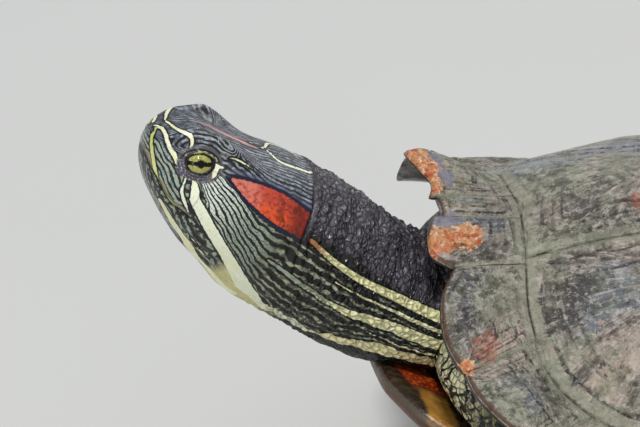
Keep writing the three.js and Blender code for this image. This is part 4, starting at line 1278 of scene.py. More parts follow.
def glossy_iris(colours):
    """A wet eyeball: olive-yellow iris with dark flecks, a black bar through a round pupil, mirror gloss."""
    paint = Paint("wet_iris", colours)
    fine = paint.speckle(0.5, 3) - 0.5
    wave = paint.speckle(1.2, 2) - 0.5
    flecks = paint.add("ShaderNodeMapRange", {0: paint.speckle(0.35, 3), 1: 0.45, 2: 0.65})
    iris = paint.layered("iris", (flecks * 0.75, "iris_fleck"),
        (paint.within("iris_mm", 0.9, 1.3, fine, 0.7), "#5d5f1c"),
        (paint.within("iris_mm", 3.5, 2.8, fine, 0.9), "#77773a"))
    black = "#050406"
    colour = paint.layered(iris, (paint.within("bar_mm", 0.44, 0.56, fine, 0.9), black),
        (paint.within("iris_mm", 0.82, 0.96, wave, 0.5), black),
        (paint.within("iris_mm", 4.4, 4.2, fine, 0.3), black))
    return paint.finished(colour, 0.06, fine, 0.01, IOR=1.376)


def dark_horn(colours):
    """Claw horn: dark brown-black with paler tips and fine lengthwise streaks, half glossy."""
    paint = Paint("claw_horn", colours)
    streak = paint.speckle(0.6, 3)
    tip = paint.within("tip", 1.0, 0.4)
    colour = paint.layered("claw", (tip * 0.7, "#7d6a4d"), (streak * 0.4, "#0f0c0a"))
    return paint.finished(colour, paint.add("ShaderNodeMapRange", {0: streak, 3: 0.25, 4: 0.45}), streak,
        0.05, IOR=1.54)


def wet_scute(colours, worn):
    """Wet keratin scute: scratched brown horn with growth lines, filmed with green algae that gathers in the
    seams, worn to orange and violet where the stains say so, with painted sky reflections and glints."""
    paint = Paint("wet_algae_scute_worn" if worn else "wet_algae_scute", colours)
    fine = paint.speckle(1.0, 4, 0.65) - 0.5
    grit = paint.speckle(0.45, 3, 0.7)
    spoke = paint.add("ShaderNodeCombineXYZ", dict(enumerate(paint.fields("spoke_x spoke_y ring_t"))))

    def scratches(scale, detail):
        moved = paint.add("ShaderNodeMapping", {"Vector": spoke, "Scale": scale}, vector_type="POINT")
        return paint.add("ShaderNodeTexNoise",
            {"Vector": moved, "Scale": 1.0, "Detail": detail, "Roughness": 0.68})

    streak, hatch = scratches((9.0, 9.0, 2.2), 5.0), scratches((24.0, 24.0, 4.5), 3.0)
    broad, patchy, blotchy = (paint.speckle(*kind) for kind in ((16.0, 3), (5.0, 4, 0.6), (2.4, 4, 0.65)))
    stained = {}
    ragged = fine * 2.2 + (blotchy - 0.5) * 3.2
    for name in STAINS:
        stained[name] = (rising(ragged + paint.field(name), 0.35, 0.6)
                         * rising(paint.field(name), 0.02, 0.2))
    # pale flecks, partly real dry scale and partly painted glints of the wet horn
    fleck_and_glint = rising(grit, 0.58, 0.7)
    pit = rising(grit, 0.43, 0.33)
    mottle = paint.speckle(1.7, 5, 0.72)
    cloud = paint.speckle(7.0, 5, 0.66)
    # the bluish-grey patches are partly the horn's tone and partly painted reflection of the sky
    horn = paint.layered("horn", (rising(broad, 0.45, 0.55), "horn_olive"),
        (rising(patchy, 0.52, 0.6) * 0.7, "horn_tan"), (rising(cloud, 0.47, 0.4) * 0.7, "horn_dark"),
        (stained["blue"] * 0.8, "blue_horn_and_sky_sheen"), (stained["tan"] * 0.8, "horn_tan"),
        (stained["dark"] * 0.7, "horn_dark"), (rising(streak, 0.5, 0.62) * 0.75, "horn_dark"),
        (rising(hatch, 0.56, 0.66) * 0.5, "scratch_and_glint"), (rising(hatch, 0.42, 0.34) * 0.6, "horn_dark"),
        (paint.within("growth", 0.1, 0.28, fine, 0.3) * rising(blotchy, 0.4, 0.55) * 0.75, "#2b2926"),
        (paint.within("growth", 0.5, 0.7, fine, 0.3) * rising(patchy, 0.5, 0.6) * 0.3, "scratch_and_glint"),
        (paint.within("step_mm", 0.2, 0.5, fine, 0.6) * rising(cloud, 0.42, 0.5) * 0.85, "#24211e"))
    film = paint.layered("algae", (rising(blotchy, 0.44, 0.58), "seam"),
        (rising(cloud, 0.46, 0.4) * 0.8, "#45492f"), (rising(mottle, 0.46, 0.36) * 0.6, "#3f422f"))
    thin_film = rising(paint.speckle(8.0, 5, 0.62), 0.5, 0.6)
    horn = paint.layered(horn, (thin_film * 0.5, film), (stained["algae"] * 0.8, film),
        (rising(mottle, 0.45, 0.35) * rising(patchy, 0.6, 0.42, 0.25), "horn_dark"),
        (rising(mottle, 0.53, 0.63) * 0.45, "scratch_and_glint"), (fleck_and_glint * 0.3, "scratch_and_glint"),
        (pit * 0.35, "horn_dark"))
    crust = paint.within("seam_mm", 1.3, 2.6, ragged, 1.8) * rising(blotchy, 0.3, 0.44, 0.35)
    edge_patch = paint.layered("worn_orange", (rising(blotchy, 0.5, 0.62), "worn_red"),
        (rising(fine, 0.0, 0.14) * 0.8, "#f2d6b4"), (rising(mottle, 0.44, 0.38) * 0.6, "#6e3418"))
    colour = paint.layered(horn,
        (crust * 0.8, paint.layered(film, (0.45, "seam"), (fleck_and_glint * 0.5, "scratch_and_glint"))),
        (paint.within("seam_mm", 0.1, 0.5, fine, 1.2) * rising(cloud, 0.44, 0.54) * 0.65, "#2c2e24"),
        # painted reflection of the pale sky where the shell is wet
        (stained["sheen"] * rising(streak, 0.44, 0.56) * 0.45, "sheen"),
        (stained["violet"] * 0.85, "violet"),
        (paint.within("edge_mm", 0.35, 0.8, fine, 0.9) * 0.9, "rim"), (stained["orange"], edge_patch),
        (stained["red"] * rising(grit, 0.4, 0.55) * 0.6, "worn_red"),
        (paint.within("inner", 0.2, 0.5), "inner_horn"))
    wet = rising(paint.speckle(6.0, 4), 0.42, 0.56, 0.5, 0.1)
    wet = wet.math("MINIMUM", rising(stained["sheen"], 0.2, 0.6, 1.0, 0.12))
    ridges = rising(paint.field("growth"), 0.0, 0.4) * 0.5 + fine
    height = hatch * 0.5 + (streak * 0.8 + ridges)
    height = mottle * 1.1 + height
    return paint.finished(colour, wet, height, 0.6, IOR=1.52)


def amber_plastron(colours):
    """Plastron horn: glossy amber plates with a dark brown blotch each. Inside the front lip it is dark
    brown, with a red-brown band and an amber patch where the skin meets it."""
    paint = Paint("amber_plastron_horn", colours)
    wave = paint.speckle(5.0, 3) - 0.5
    fine = paint.speckle(1.0, 4) - 0.5
    patchy = paint.speckle(8.0, 3)
    streak = paint.speckle(1.6, 4, 0.65, stretch=(4.0, 1.0, 1.0))
    beside = paint.field("y_mm")
    amber = paint.layered("amber", (rising(patchy, 0.4, 0.65), "#a5702f"),
        (rising(streak, 0.52, 0.66) * 0.5, "#6b431c"))
    outer = paint.layered(amber, (paint.within("blotch_mm", -0.5, 1.5, wave, 6.0), "#2f2318"),
        (paint.within("edge_mm", 2.6, 4.4, wave, 2.0) * paint.within("front", 10.0, 20.0), "#33261c"),
        (paint.within("edge_mm", 1.6, 3.2, wave, 3.0) * 0.7, "#5d3a20"),
        (paint.within("seam_mm", 0.25, 0.6, fine, 0.5), "#241a12"))
    red = paint.layered("#8e3014", (rising(fine, 0.0, 0.14), "#cc6022"),
        (rising(wave, 0.1, 0.2), "#3f150c"))
    inside = paint.layered("#2c2119", (rising(streak, 0.5, 0.64) * 0.6, "#5b4630"),
        (paint.within("zone", 4.6, 6.2, wave, 4.0) * rising(beside, 19.0, 15.0), red),
        (paint.within("zone", 3.0, 4.5, wave, 3.0) * rising(wave * 5.0 + beside, 17.0, 20.0), amber),
        (paint.within("edge_mm", 0.25, 0.5, fine, 0.4) * 0.7, "#5b5146"))
    colour = paint.layered(outer, (paint.within("below", 0.3, 0.7), inside))
    return paint.finished(colour, rising(patchy, 0.35, 0.65, 0.16, 0.34), fine, 0.2, IOR=1.52)


# ---------------------------------------------------------------------------------------- settings
def colour_property(name, code, description):
    return FloatVectorProperty(name=name, description=description, subtype="COLOR", size=3, min=0, max=1,
                               default=linear(code)[:3])


def length_property(name, mm, description):
    return FloatProperty(name=name, description=description, subtype="DISTANCE", unit="LENGTH",
                         default=mm * MM,
                         precision=5)


class SliderHideColours(bpy.types.PropertyGroup):
    ground: colour_property("Ground", "#1c1d1b", "Between the lines of the face, neck and legs")
    crown: colour_property("Crown", "#525761", "Top of the head, between its fine dark lines")
    nape: colour_property("Nape", "#4a454d", "Top of the neck")
    throat: colour_property("Throat", "#cfc88e", "Underside of the head")
    crown_line: colour_property("Crown, pale", "#9499a8", "Paler streaks on top of the head")
    # painted highlights: the palest flecks on top of the head stand for light on the wet skin
    crown_painted_highlight: colour_property("Crown, palest", "#c9ced8", "Palest flecks on top of the head")
    temple_line: colour_property("Temple lines", "#b6b896", "Lines just behind the eye")
    cheek_line: colour_property("Cheek lines, front", "#dbe4d6", "Fine lines just behind and under the eye")
    cheek_far: colour_property("Cheek lines, rear", "#9aa592", "The same lines farther back")
    neck_line: colour_property("Neck lines", "#a3a68a", "Broken fine lines on the neck")
    lavender: colour_property("Lavender edge", "#666880", "Band above the ear patch")
    stripe_ivory: colour_property("Ivory stripe", "#ebf0d8", "The palest stripes")
    stripe_yellow: colour_property("Yellow stripe", "#f1ecb2", "Stripes of the neck")
    leg_line: colour_property("Leg stripes", "#b3b06a", "Thin stripes of the legs and tail")
    stripe_green: colour_property("Green stripe", "#b9c25c", "The stripe down the beak")
    teal: colour_property("Teal line", "#6c8688", "Lines between the beak and the eye")
    outline: colour_property("Outline", "#100f10", "Borders of the stripes")
    red: colour_property("Ear patch", "#c4472f", "Middle of the red ear patch")
    red_bright: colour_property("Ear patch, lower edge", "#e8561d", "Brightest part of the ear patch")
    red_front: colour_property("Ear patch, front", "#da7a69", "Front of the ear patch")
    red_back: colour_property("Ear patch, back", "#84281a", "Back of the ear patch")
    navy: colour_property("Ear patch border", "#171c30", "Around the ear patch")
    crown_pink: colour_property("Crown stripe", "#d8978d", "Thin stripe on the middle of the head")
    worn_orange: colour_property("Neck orange", "#c07a4c", "Start of the upper neck stripe")
    beak: colour_property("Beak", "#8f8a72", "Horny edge of the upper beak")
    lid: colour_property("Lids", "#5c5962", "Skin below and ahead of the eye")
    lid_fold: colour_property("Lid folds", "#26242a", "Fine folds of the lower lid")
    lid_speck: colour_property("Lid flecks", "#b3acb0", "Pinkish white flecks of the lower lid")
    upper_lid: colour_property("Upper lid", "#b3b46e", "Edge of the upper lid")


class SliderEyeColours(bpy.types.PropertyGroup):
    iris: colour_property("Iris", "#b5b368", "Iris")
    iris_fleck: colour_property("Iris flecks", "#6f7030", "Darker flecks of the iris")
    claw: colour_property("Claws", "#2b231d", "Claws")
    claw_length: length_property("Claw length", 8.5, "Length of the longest claw past its toe")
    claw_thickness: length_property("Claw thickness", 2.3, "Thickness of a claw at its root")
    claw_droop: length_property("Claw droop", 2.0, "How far a claw's tip bends down")


class SliderShellColours(bpy.types.PropertyGroup):
    horn: colour_property("Horn", "#91867b", "Bare horn of the carapace")
    horn_olive: colour_property("Olive horn", "#85826f", "Greener patches of horn")
    horn_dark: colour_property("Dark horn", "#38342f", "Streaks and blotches")
    horn_tan: colour_property("Tan horn", "#b5a091", "Paler, pinkish patches")
    # pale scratches and flecks, partly painted glints
    scratch_and_glint: colour_property("Scratches", "#d5cfc4", "Pale scratches and flecks")
    # bluish-grey horn, partly painted reflection of the sky on the wet shell
    blue_horn_and_sky_sheen: colour_property("Blue-grey horn", "#5d6672", "Patches with a wet, bluish look")
    algae: colour_property("Algae", "#7d7d66", "Film of algae")
    seam: colour_property("Seams", "#a3a28f", "Pale growth that fills the seams")
    # the sheen is a painted reflection of the pale sky on the wet shell, not a film
    sheen: colour_property("Sheen", "#a4a8b4", "Pale bluish film where the shell stays wet")
    violet: colour_property("Violet horn", "#82808f", "Beside the worn edges")
    worn_orange: colour_property("Worn horn", "#d08a55", "Worn edges of the front marginals")
    worn_red: colour_property("Worn red", "#b5522a", "Darker flecks of the worn edges")
    rim: colour_property("Rim", "#5e4030", "Thin edge of the marginals")
    inner_horn: colour_property("Underside", "#3a2c22", "Underside of the marginals")
    amber: colour_property("Plastron", "#c18f3e", "Amber horn of the plastron")


class SliderStage(bpy.types.PropertyGroup):
    azimuth: FloatProperty(name="Azimuth", description="Camera, round from the turtle's front to its left",
                           default=81.0)
    elevation: FloatProperty(name="Elevation", description="Camera, above the floor", default=30.0)
    distance: FloatProperty(name="Distance", description="Camera to its target", default=1.3, unit="LENGTH")
    span: length_property("Width in view", 152.4, "Width of the picture at the target")
    world_light: FloatProperty(name="World light", description="Strength of the even light", default=0.5)
    key_light: FloatProperty(name="Key light", description="Power of the main lamp", default=13.0,
                             unit="POWER")


# ----------------------------------------------------------------------------------- the operators
def stands_for(made, material, slot, *nodes):
    """Gives a finished piece its material and its place among the solids."""
    made.data.materials.clear()
    made.data.materials.append(material)
    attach(made, "root")
    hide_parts(*nodes)


class SLIDER_OT_skin(bpy.types.Operator):
    """Builds the one skin of the head, neck, legs, tail and trunk"""

    bl_idname = "slider.skin"
    bl_label = "Skin"

    def execute(self, context):
        skin, points, s, phi, bare, away = skin_surface()
        scaled_skin(skin, points, s, phi, bare, away)
        stands_for(skin, wet_hide(context.scene.slider_hide), "skin",
                   "trunk", "neck", "head", "jaw_lower", "tail", *LEGS)
        return {"FINISHED"}


class SLIDER_OT_eyes(bpy.types.Operator):
    """Builds the two eyeballs"""

    bl_idname = "slider.eyes"
    bl_label = "Eyes"

    def execute(self, context):
        material = glossy_iris(context.scene.slider_eyes)
        rings, sides = 44, 72
        theta = np.linspace(0, np.pi, rings + 2)[1:-1]
        turn = np.linspace(0, 2 * np.pi, sides, False)
        th, tu = (v.ravel() for v in np.meshgrid(theta, turn, indexing="ij"))
        bulge = EYE_RADIUS + 0.22 * (1 - ramp(th, 0.3, 0.75))
        for name, side in (("eye_left", 1), ("eye_right", -1)):
            out = np.cos(th) * bulge
            ahead, up = np.sin(th) * np.cos(tu) * bulge, np.sin(th) * np.sin(tu) * bulge
            local = ahead[:, None] * EYE_FORWARD + up[:, None] * EYE_UP + out[:, None] * EYE_GAZE
            poles = np.array([EYE_GAZE * (EYE_RADIUS + 0.22), -EYE_GAZE * EYE_RADIUS])
            local = (np.vstack([local, poles]) + EYE_AT) * np.array([1, side, 1])
            faces = [f[::side] for f in tube_faces(rings, sides)]
            fields = {"iris_mm": np.append(np.hypot(ahead, up) + 9 * (out < 0), (0, 12)),
                      "bar_mm": np.append(np.abs(up + 0.03 * ahead), (0, 9))}
            ball = new_mesh(name + "_ball", from_head(local), faces, fields)
            outward(ball)
            stands_for(ball, material, "eye", name)
        return {"FINISHED"}


def outward(made):
    """Turns all faces of a closed mesh outwards."""
    work = bmesh.new()
    work.from_mesh(made.data)
    bmesh.ops.recalc_face_normals(work, faces=work.faces)
    work.to_mesh(made.data)
    work.free()


CLAW_SIZES = {"Length": "claw_length", "Thickness": "claw_thickness", "Droop": "claw_droop"}


def claw_tree(material):
    """Geometry Nodes: one curved, pointed claw on every point, turned to its aim and scaled by its size."""
    tree = bpy.data.node_groups.new("Claws", "GeometryNodeTree")
    face = tree.interface
    face.new_socket("Geometry", in_out="INPUT", socket_type="NodeSocketGeometry")
    for name in CLAW_SIZES:
        face.new_socket(name, in_out="INPUT", socket_type="NodeSocketFloat")
    face.new_socket("Geometry", in_out="OUTPUT", socket_type="NodeSocketGeometry")
    given = tree.nodes.new("NodeGroupInput")
    seeds, length, thickness, droop = (Signal(given.outputs[n]) for n in ("Geometry", *CLAW_SIZES))
    path = add(tree, "GeometryNodeCurveQuadraticBezier", {
        "Resolution": 14, "Start": (0.0, 0.0, 0.0),
        "Middle": add(tree, "ShaderNodeCombineXYZ", {0: length * 0.55, 2: droop * 0.35}),
        "End": add(tree, "ShaderNodeCombineXYZ", {0: length, 2: droop * -1.0}),
    })
    share = add(tree, "GeometryNodeSplineParameter")
    taper = (1.02 - share.math("POWER", 1.7)).math("POWER", 0.62)
    tagged = add(tree, "GeometryNodeStoreNamedAttribute", {"Geometry": path, "Name": "tip", "Value": share},
                 data_type="FLOAT", domain="POINT")
    circle = {"Resolution": 14, "Radius": thickness * 0.5}
    section = add(tree, "GeometryNodeCurvePrimitiveCircle", circle, mode="RADIUS")
    swept = {"Curve": tagged, "Profile Curve": section, "Scale": taper, "Fill Caps": True}
    aim = add(tree, "GeometryNodeInputNamedAttribute", {"Name": "aim"}, data_type="FLOAT_VECTOR")
    size = add(tree, "GeometryNodeInputNamedAttribute", {"Name": "size"}, data_type="FLOAT")
    placed = add(tree, "GeometryNodeInstanceOnPoints", {
        "Points": seeds, "Instance": add(tree, "GeometryNodeCurveToMesh", swept), "Scale": size,
        "Rotation": add(tree, "FunctionNodeAlignRotationToVector", {"Vector": aim}, axis="X",
                        pivot_axis="Z"),
    })
    real = add(tree, "GeometryNodeRealizeInstances", {"Geometry": placed})
    finish = add(tree, "GeometryNodeSetMaterial", {"Geometry": real, "Material": material})
    add(tree, "NodeGroupOutput", {"Geometry": finish})
    return tree


class SLIDER_OT_claws(bpy.types.Operator):
    """Sets a claw on every toe"""

    bl_idname = "slider.claws"
    bl_label = "Claws"

    def execute(self, context):
        settings = context.scene.slider_eyes
        roots, aims, sizes = [], [], []
        for leg, (kind, _, _) in LEGS.items():
            for root, aim, length in toes_of(leg):
                roots.append(root + aim * length * 0.5 + (0, 0, kind["thick"] * 0.82))
                aims.append(aim)
                sizes.append(length / kind["length"])
        seeds = new_mesh("claws", roots, [])
        seeds.data.attributes.new("aim", "FLOAT_VECTOR", "POINT").data.foreach_set("vector", np.ravel(aims))
        set_fields(seeds.data, {"size": sizes})
        material = dark_horn(settings)
        modifier = seeds.modifiers.new("Claws", "NODES")
        modifier.node_group = claw_tree(material)
        items = modifier.node_group.interface.items_tree
        sockets = {i.name: i.identifier for i in items if i.in_out == "INPUT"}
        for name, setting in CLAW_SIZES.items():
            modifier[sockets[name]] = getattr(settings, setting)
        claws = evaluated(seeds, "claws")
        outward(claws)
        claws.data.materials.clear()
        claws.data.materials.append(material)
        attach(claws, "root")
        return {"FINISHED"}


# Where the shell's stains, wear and painted reflections show: (degrees round the shell, share of the way out
# to its edge, radius in mm).
STAINS = {
    "algae": ((-12, 0.9, 14), (-4, 0.75, 10), (-3, 0.5, 13), (10, 0.82, 8), (17, 0.9, 8), (30, 1, 9),
              (-37, 0.75, 16),
              (0, 0.3, 16), (0, 0.1, 22), (170, 0.45, 40), (70, 0.7, 25)),
    "blue": ((14, 0.97, 7), (18, 0.95, 6), (25, 0.72, 11), (5, 0.9, 6), (-13, 0.75, 14), (-24, 0.6, 13),
             (30, 0.95, 8), (48, 0.45, 12)),
    "tan": ((21, 0.9, 9), (34, 0.75, 11), (38, 0.55, 14), (90, 0.6, 20), (-6, 0.95, 6)),
    "orange": ((7, 1, 5), (7, 0.95, 5), (-8, 1.03, 4), (-6, 1.01, 4), (-4, 0.99, 3), (23, 1, 3)),
    "red": ((22, 0.95, 4), (9, 0.6, 3), (8, 1, 3)),
    "violet": ((4, 0.98, 5), (-7, 1, 4), (-5, 0.97, 3)),
    "sheen": ((-14, 0.75, 13), (-22, 0.58, 14), (-1, 0.93, 3)),
    "dark": ((13, 0.98, 7), (19, 0.98, 8), (11, 0.96, 3), (21, 0.78, 8), (9, 0.7, 8), (90, 0.35, 16),
             (-140, 0.5, 20),
             (108, 0.7, 16)),
}


def stain(name, x, y):
    total = np.zeros(len(x))
    for degrees, share, radius in STAINS[name]:
        cx, cy = shell_point(degrees, share)
        total = np.maximum(total, 1.2 * (1 - (np.hypot(x - cx, y - cy) / radius) ** 2))
    return np.clip(total, 0, 1.2)


STEPS_IN = (3.4, 8.2)  # each scute rises by a step this many mm in from its seams
# points round a scute, rings out from its middle, and mm between its growth lines
MARGINAL_GRID, SCUTE_GRID = (96, 32, 2.3), (168, 56, 2.9)
LOWER_RINGS = (1.0, 0.8, 0.45)  # shares of the way out, on its underside


def scute_mesh(name, outline, free):
    """One scute: a plate grown in rings round its oldest part, sunk at its seams, its free edge rounded."""
    marginal = name.startswith("marginal") or name == "nuchal"
    rng = np.random.RandomState(sum(ord(c) * (i + 3) for i, c in enumerate(name)))
    around, rings, spacing = MARGINAL_GRID if marginal else SCUTE_GRID
    line, flag = resampled(outline, free, around)
    middle = line.mean(0)
    if name.startswith("vertebral"):
        seed = middle + (-9, 0)
    elif name.startswith("costal"):
        seed = middle + (-7, -5 * np.sign(middle[1]))
    else:
        seed = middle + (middle - line[flag > 0.5].mean(0)) * 0.35 if (flag > 0.5).any() else middle
    t = np.linspace(0, 1, rings + 1)[1:] ** 0.92
    flat = (seed + (line - seed)[None] * t[:, None, None]).reshape(-1, 2)
    ring_t = np.repeat(t, len(line))
    inner_seams = line[flag < 0.5]
    seam_mm = outline_distance(flat, line)
    edge_mm = np.full(len(flat), 9.0)
    if (flag > 0.5).any():
        edge = line[flag > 0.5]
        edge_mm = np.linalg.norm(flat[:, None] - edge[None], axis=2).min(axis=1)
        seam_mm = np.linalg.norm(flat[:, None] - inner_seams[None], axis=2).min(axis=1)
    crust_mm = seam_mm
    if marginal:  # the growth in the seams is thick along the ring and thin between neighbours
        turn = np.degrees(np.arctan2(inner_seams[:, 1], inner_seams[:, 0]))
        on_arc = np.hypot(*inner_seams.T) / oval_radius(turn) < ring_share(np.abs(turn)) + 0.012
        gaps = [np.linalg.norm(flat[:, None] - part[None],
                               axis=2).min(axis=1) for part in (inner_seams[on_arc], inner_seams[~on_arc])]
        crust_mm = np.minimum(gaps[0], gaps[1] * 2.4 + 0.1)
    uneven = crust_mm + 1.1 * noise(np.column_stack([flat, flat[:, :1] * 0 + 9]), 8, 25)
    step_mm = np.min([np.abs(uneven - at) for at in STEPS_IN], axis=0)
    wobble = noise(np.column_stack([flat, flat[:, :1] * 0]), 7, 21)
    ring_mm = np.minimum(seam_mm, edge_mm)
    growth = np.abs(((ring_mm + 0.5 * wobble) / spacing + 0.5) % 1 - 0.5) * spacing
    grown = 1 - ramp(ring_mm, 10, 17)
    top = carapace_top(flat[:, 0], flat[:, 1])
    place = np.column_stack([flat, top])
    ridged = noise(place, 12, 26)
    lift = -0.5 * bell(seam_mm, 0, 0.8) - 0.25 * bell(growth, 0, 0.4) * grown * ramp(ring_mm, 0.8, 2.2)
    lift += 0.22 * bell(seam_mm, 1.8, 0.9) * (1 + noise(place, 2.2, 27))
    for at in STEPS_IN:
        lift += (0.3 + 0.2 * ridged) * (ramp(uneven, at - 0.15, at + 0.5) - 0.5)
    lift += 0.35 * noise(place, 9, 22) + 0.16 * noise(place, 3.2, 23) + 0.5 * ramp(ring_mm, 1, 9) - 0.35
    lift -= np.clip(1 - edge_mm / 1.1, 0, 1) ** 2 * 0.85
    over = top + lift
    under = carapace_underside(flat[:, 0], flat[:, 1])
    keep = np.maximum(over, under + 0.5)
    columns = len(line)
    last = slice(-columns, None)
    lower = np.vstack([seed + (line - seed) * r for r in LOWER_RINGS])
    lower_z = carapace_underside(lower[:, 0], lower[:, 1])
    if name == "marginal_right_1":  # the flared one is thin at its edge
        lower_z[:columns] = mix(lower_z[:columns], keep[last], 0.6 * flag)
    mid_wall = np.column_stack([line, mix(keep[last], lower_z[:columns], 0.5)])
    top_points = np.column_stack([flat, keep])
    centre_z = carapace_top(seed[:1], seed[1:])[0] + 0.15
    order = np.vstack([top_points, mid_wall, np.column_stack([lower, lower_z]),
                       [[*seed, centre_z]], [[*seed, carapace_underside(seed[:1], seed[1:])[0]]]])
    total_rings = rings + 1 + len(LOWER_RINGS)
    faces = [f[::-1] for f in tube_faces(total_rings, columns)]
    x, y = order[:, 0], order[:, 1]
    extra = columns * (1 + len(LOWER_RINGS))

    def spread(values, below, centre):
        return np.concatenate([values, np.full(extra, below), [centre, below]])

    out = np.column_stack([x - seed[0], y - seed[1]])
    aim = out / np.maximum(np.linalg.norm(out, axis=1, keepdims=True), 1e-6)
    fields = {
        "spoke_x": aim[:, 0] + rng.uniform(-4, 4), "spoke_y": aim[:, 1] + rng.uniform(-4, 4),
        "ring_t": spread(ring_t, 1.0, 0.0),
        "seam_mm": spread(crust_mm, 9.0, 9.0), "edge_mm": spread(edge_mm, 9.0, 9.0),
        "growth": spread(growth + (1 - grown) * 2, 2.0, 2.0), "step_mm": spread(step_mm, 9.0, 9.0),
        "inner": spread(np.ones(len(flat)), 0.0, 1.0),
    }
    for key in STAINS:
        fields[key] = stain(key, x, y)
    made = new_mesh(name + "_horn", from_shell(order), faces, fields)
    outward(made)
    return made


class SLIDER_OT_carapace(bpy.types.Operator):
    """Builds the scutes of the carapace"""

    bl_idname = "slider.carapace"
    bl_label = "Carapace"

    def execute(self, context):
        colours = context.scene.slider_shell
        plain, worn = wet_scute(colours, False), wet_scute(colours, True)
        for name, (outline, free) in scute_outlines().items():
            made = scute_mesh(name, outline, free)
            flared = name in ("marginal_left_1", "marginal_right_1")
            stands_for(made, worn if flared else plain, "scute_flared" if flared else "scute", name)
        return {"FINISHED"}


PLASTRON_HALF = ((114, 5), (113, 16), (106, 29), (93, 36), (72, 40), (52, 43), (45, 56), (38, 72), (12, 76),
                 (-14, 76), (-38, 74), (-46, 58), (-52, 44), (-70, 42), (-89, 36), (-100, 24), (-103, 12),
                 (-100, 3))
PLASTRON_SEAMS = (88, 62, 30, -8, -46, -78)  # across, at these x
PLASTRON_BLOTCHES = ((98, 13), (76, 20), (46, 22), (12, 30), (-26, 30), (-62, 20), (-88, 14))


# x of the red and amber band inside the lip, by y
LIP_BAND_AT = curve((0, 114), (3, 112.5), (7, 106), (13, 103), (20, 101), (40, 100))


class SLIDER_OT_plastron(bpy.types.Operator):
    """Builds the plastron"""

    bl_idname = "slider.plastron"
    bl_label = "Plastron"

    def execute(self, context):
        half = np.array(PLASTRON_HALF, float)
        corners = np.vstack([half, (half * (1, -1))[::-1]])
        line, _ = resampled(corners, np.zeros(len(corners)), 260)
        for _ in range(2):
            line = (np.roll(line, 1, axis=0) + line * 2 + np.roll(line, -1, axis=0)) / 4
        seed = np.array([4.0, 0.0])
        shares = np.concatenate([np.linspace(0.02, 0.94, 44), np.linspace(0.95, 1, 7)])
        flat = (seed + (line - seed)[None] * shares[:, None, None]).reshape(-1, 2)
        edge = outline_distance(flat, line)
        x, y = flat.T
        seam = np.abs(y + 0.8 * np.sin(x / 9.0))
        for at in PLASTRON_SEAMS:
            seam = np.minimum(seam, np.abs(x - at - 0.09 * np.abs(y) * np.sign(at + 20)))
        blotch = np.full(len(x), 20.0)
        for cx, cy in PLASTRON_BLOTCHES:
            blotch = np.minimum(blotch, np.hypot((x - cx) / 1.1, np.abs(y) - cy) - 9.5)
        place = np.column_stack([flat, x * 0])
        relief = 0.3 * bell(seam, 0, 0.5) + 0.12 * noise(place, 9, 31) * (edge > 1)
        rounding = 1.5 * np.clip(1 - edge / 1.8, 0, 1) ** 2
        low = plastron_underside(x, y) + relief * 0.8 + rounding
        low = np.where((x < -88) & (low < 0.6), np.maximum(low - relief * 0.8, 0.0), low)
        high = plastron_top(x, y) - rounding * 0.9 + 0.1 * noise(place, 6, 32)
        high = np.maximum(high, low + 0.6)
        top = np.column_stack([flat, high])
        bottom = np.column_stack([flat, low]).reshape(len(shares), -1, 3)[::-1].reshape(-1, 3)
        caps = [[*seed, plastron_top(seed[:1], seed[1:])[0]], [*seed,
                                                               plastron_underside(seed[:1], seed[1:])[0]]]
        points = from_shell(np.vstack([top, bottom, caps]))
        points[:, 2] = np.maximum(points[:, 2], 0.0)

        def both(values, ends):
            return np.concatenate([values, values.reshape(len(shares), -1)[::-1].ravel(), ends])

        up = np.concatenate([np.ones(len(flat)), np.zeros(len(flat)), [1, 0]])
        fields = {"edge_mm": both(edge, (30, 30)), "seam_mm": both(seam, (0, 0)),
                  "blotch_mm": both(blotch, (5, 5)),
                  "below": 1 - up, "front": both(114 - x, (110, 110)),
                  "zone": both(np.abs(x - LIP_BAND_AT(np.abs(y))), (30, 30)),
                  "y_mm": both(np.abs(y), (0, 0))}
        made = new_mesh("plastron_horn", points, [f[::-1] for f in tube_faces(2 * len(shares), len(line))],
                        fields)
        outward(made)
        stands_for(made, amber_plastron(context.scene.slider_shell), "plastron", "plastron")
        return {"FINISHED"}


def plain_material(name, colour, roughness):
    """A plain matt studio surface with a faint mottling."""
    paint = Paint(name)
    cloud = paint.speckle(120.0, 2)
    return paint.finished(paint.layered(colour, (cloud * 0.06, "#ffffff")), roughness, cloud, 0.1)


FLOOR_HALF, FLOOR_AT = 4000.0, -0.3  # the floor's half width and its height, just below the feet
SENSOR_WIDTH = 36.0
LAMPS = (("key", (0.1, 0.4, 0.9), 0.16, 1.0), ("fill", (0.9, 0.7, 0.4), 0.6, 0.22),
         ("back", (-0.7, -0.8, 0.7), 0.8,
          0.35))  # where each is from the turtle, its size in m and share of power
LAMP_AWAY = 1.6


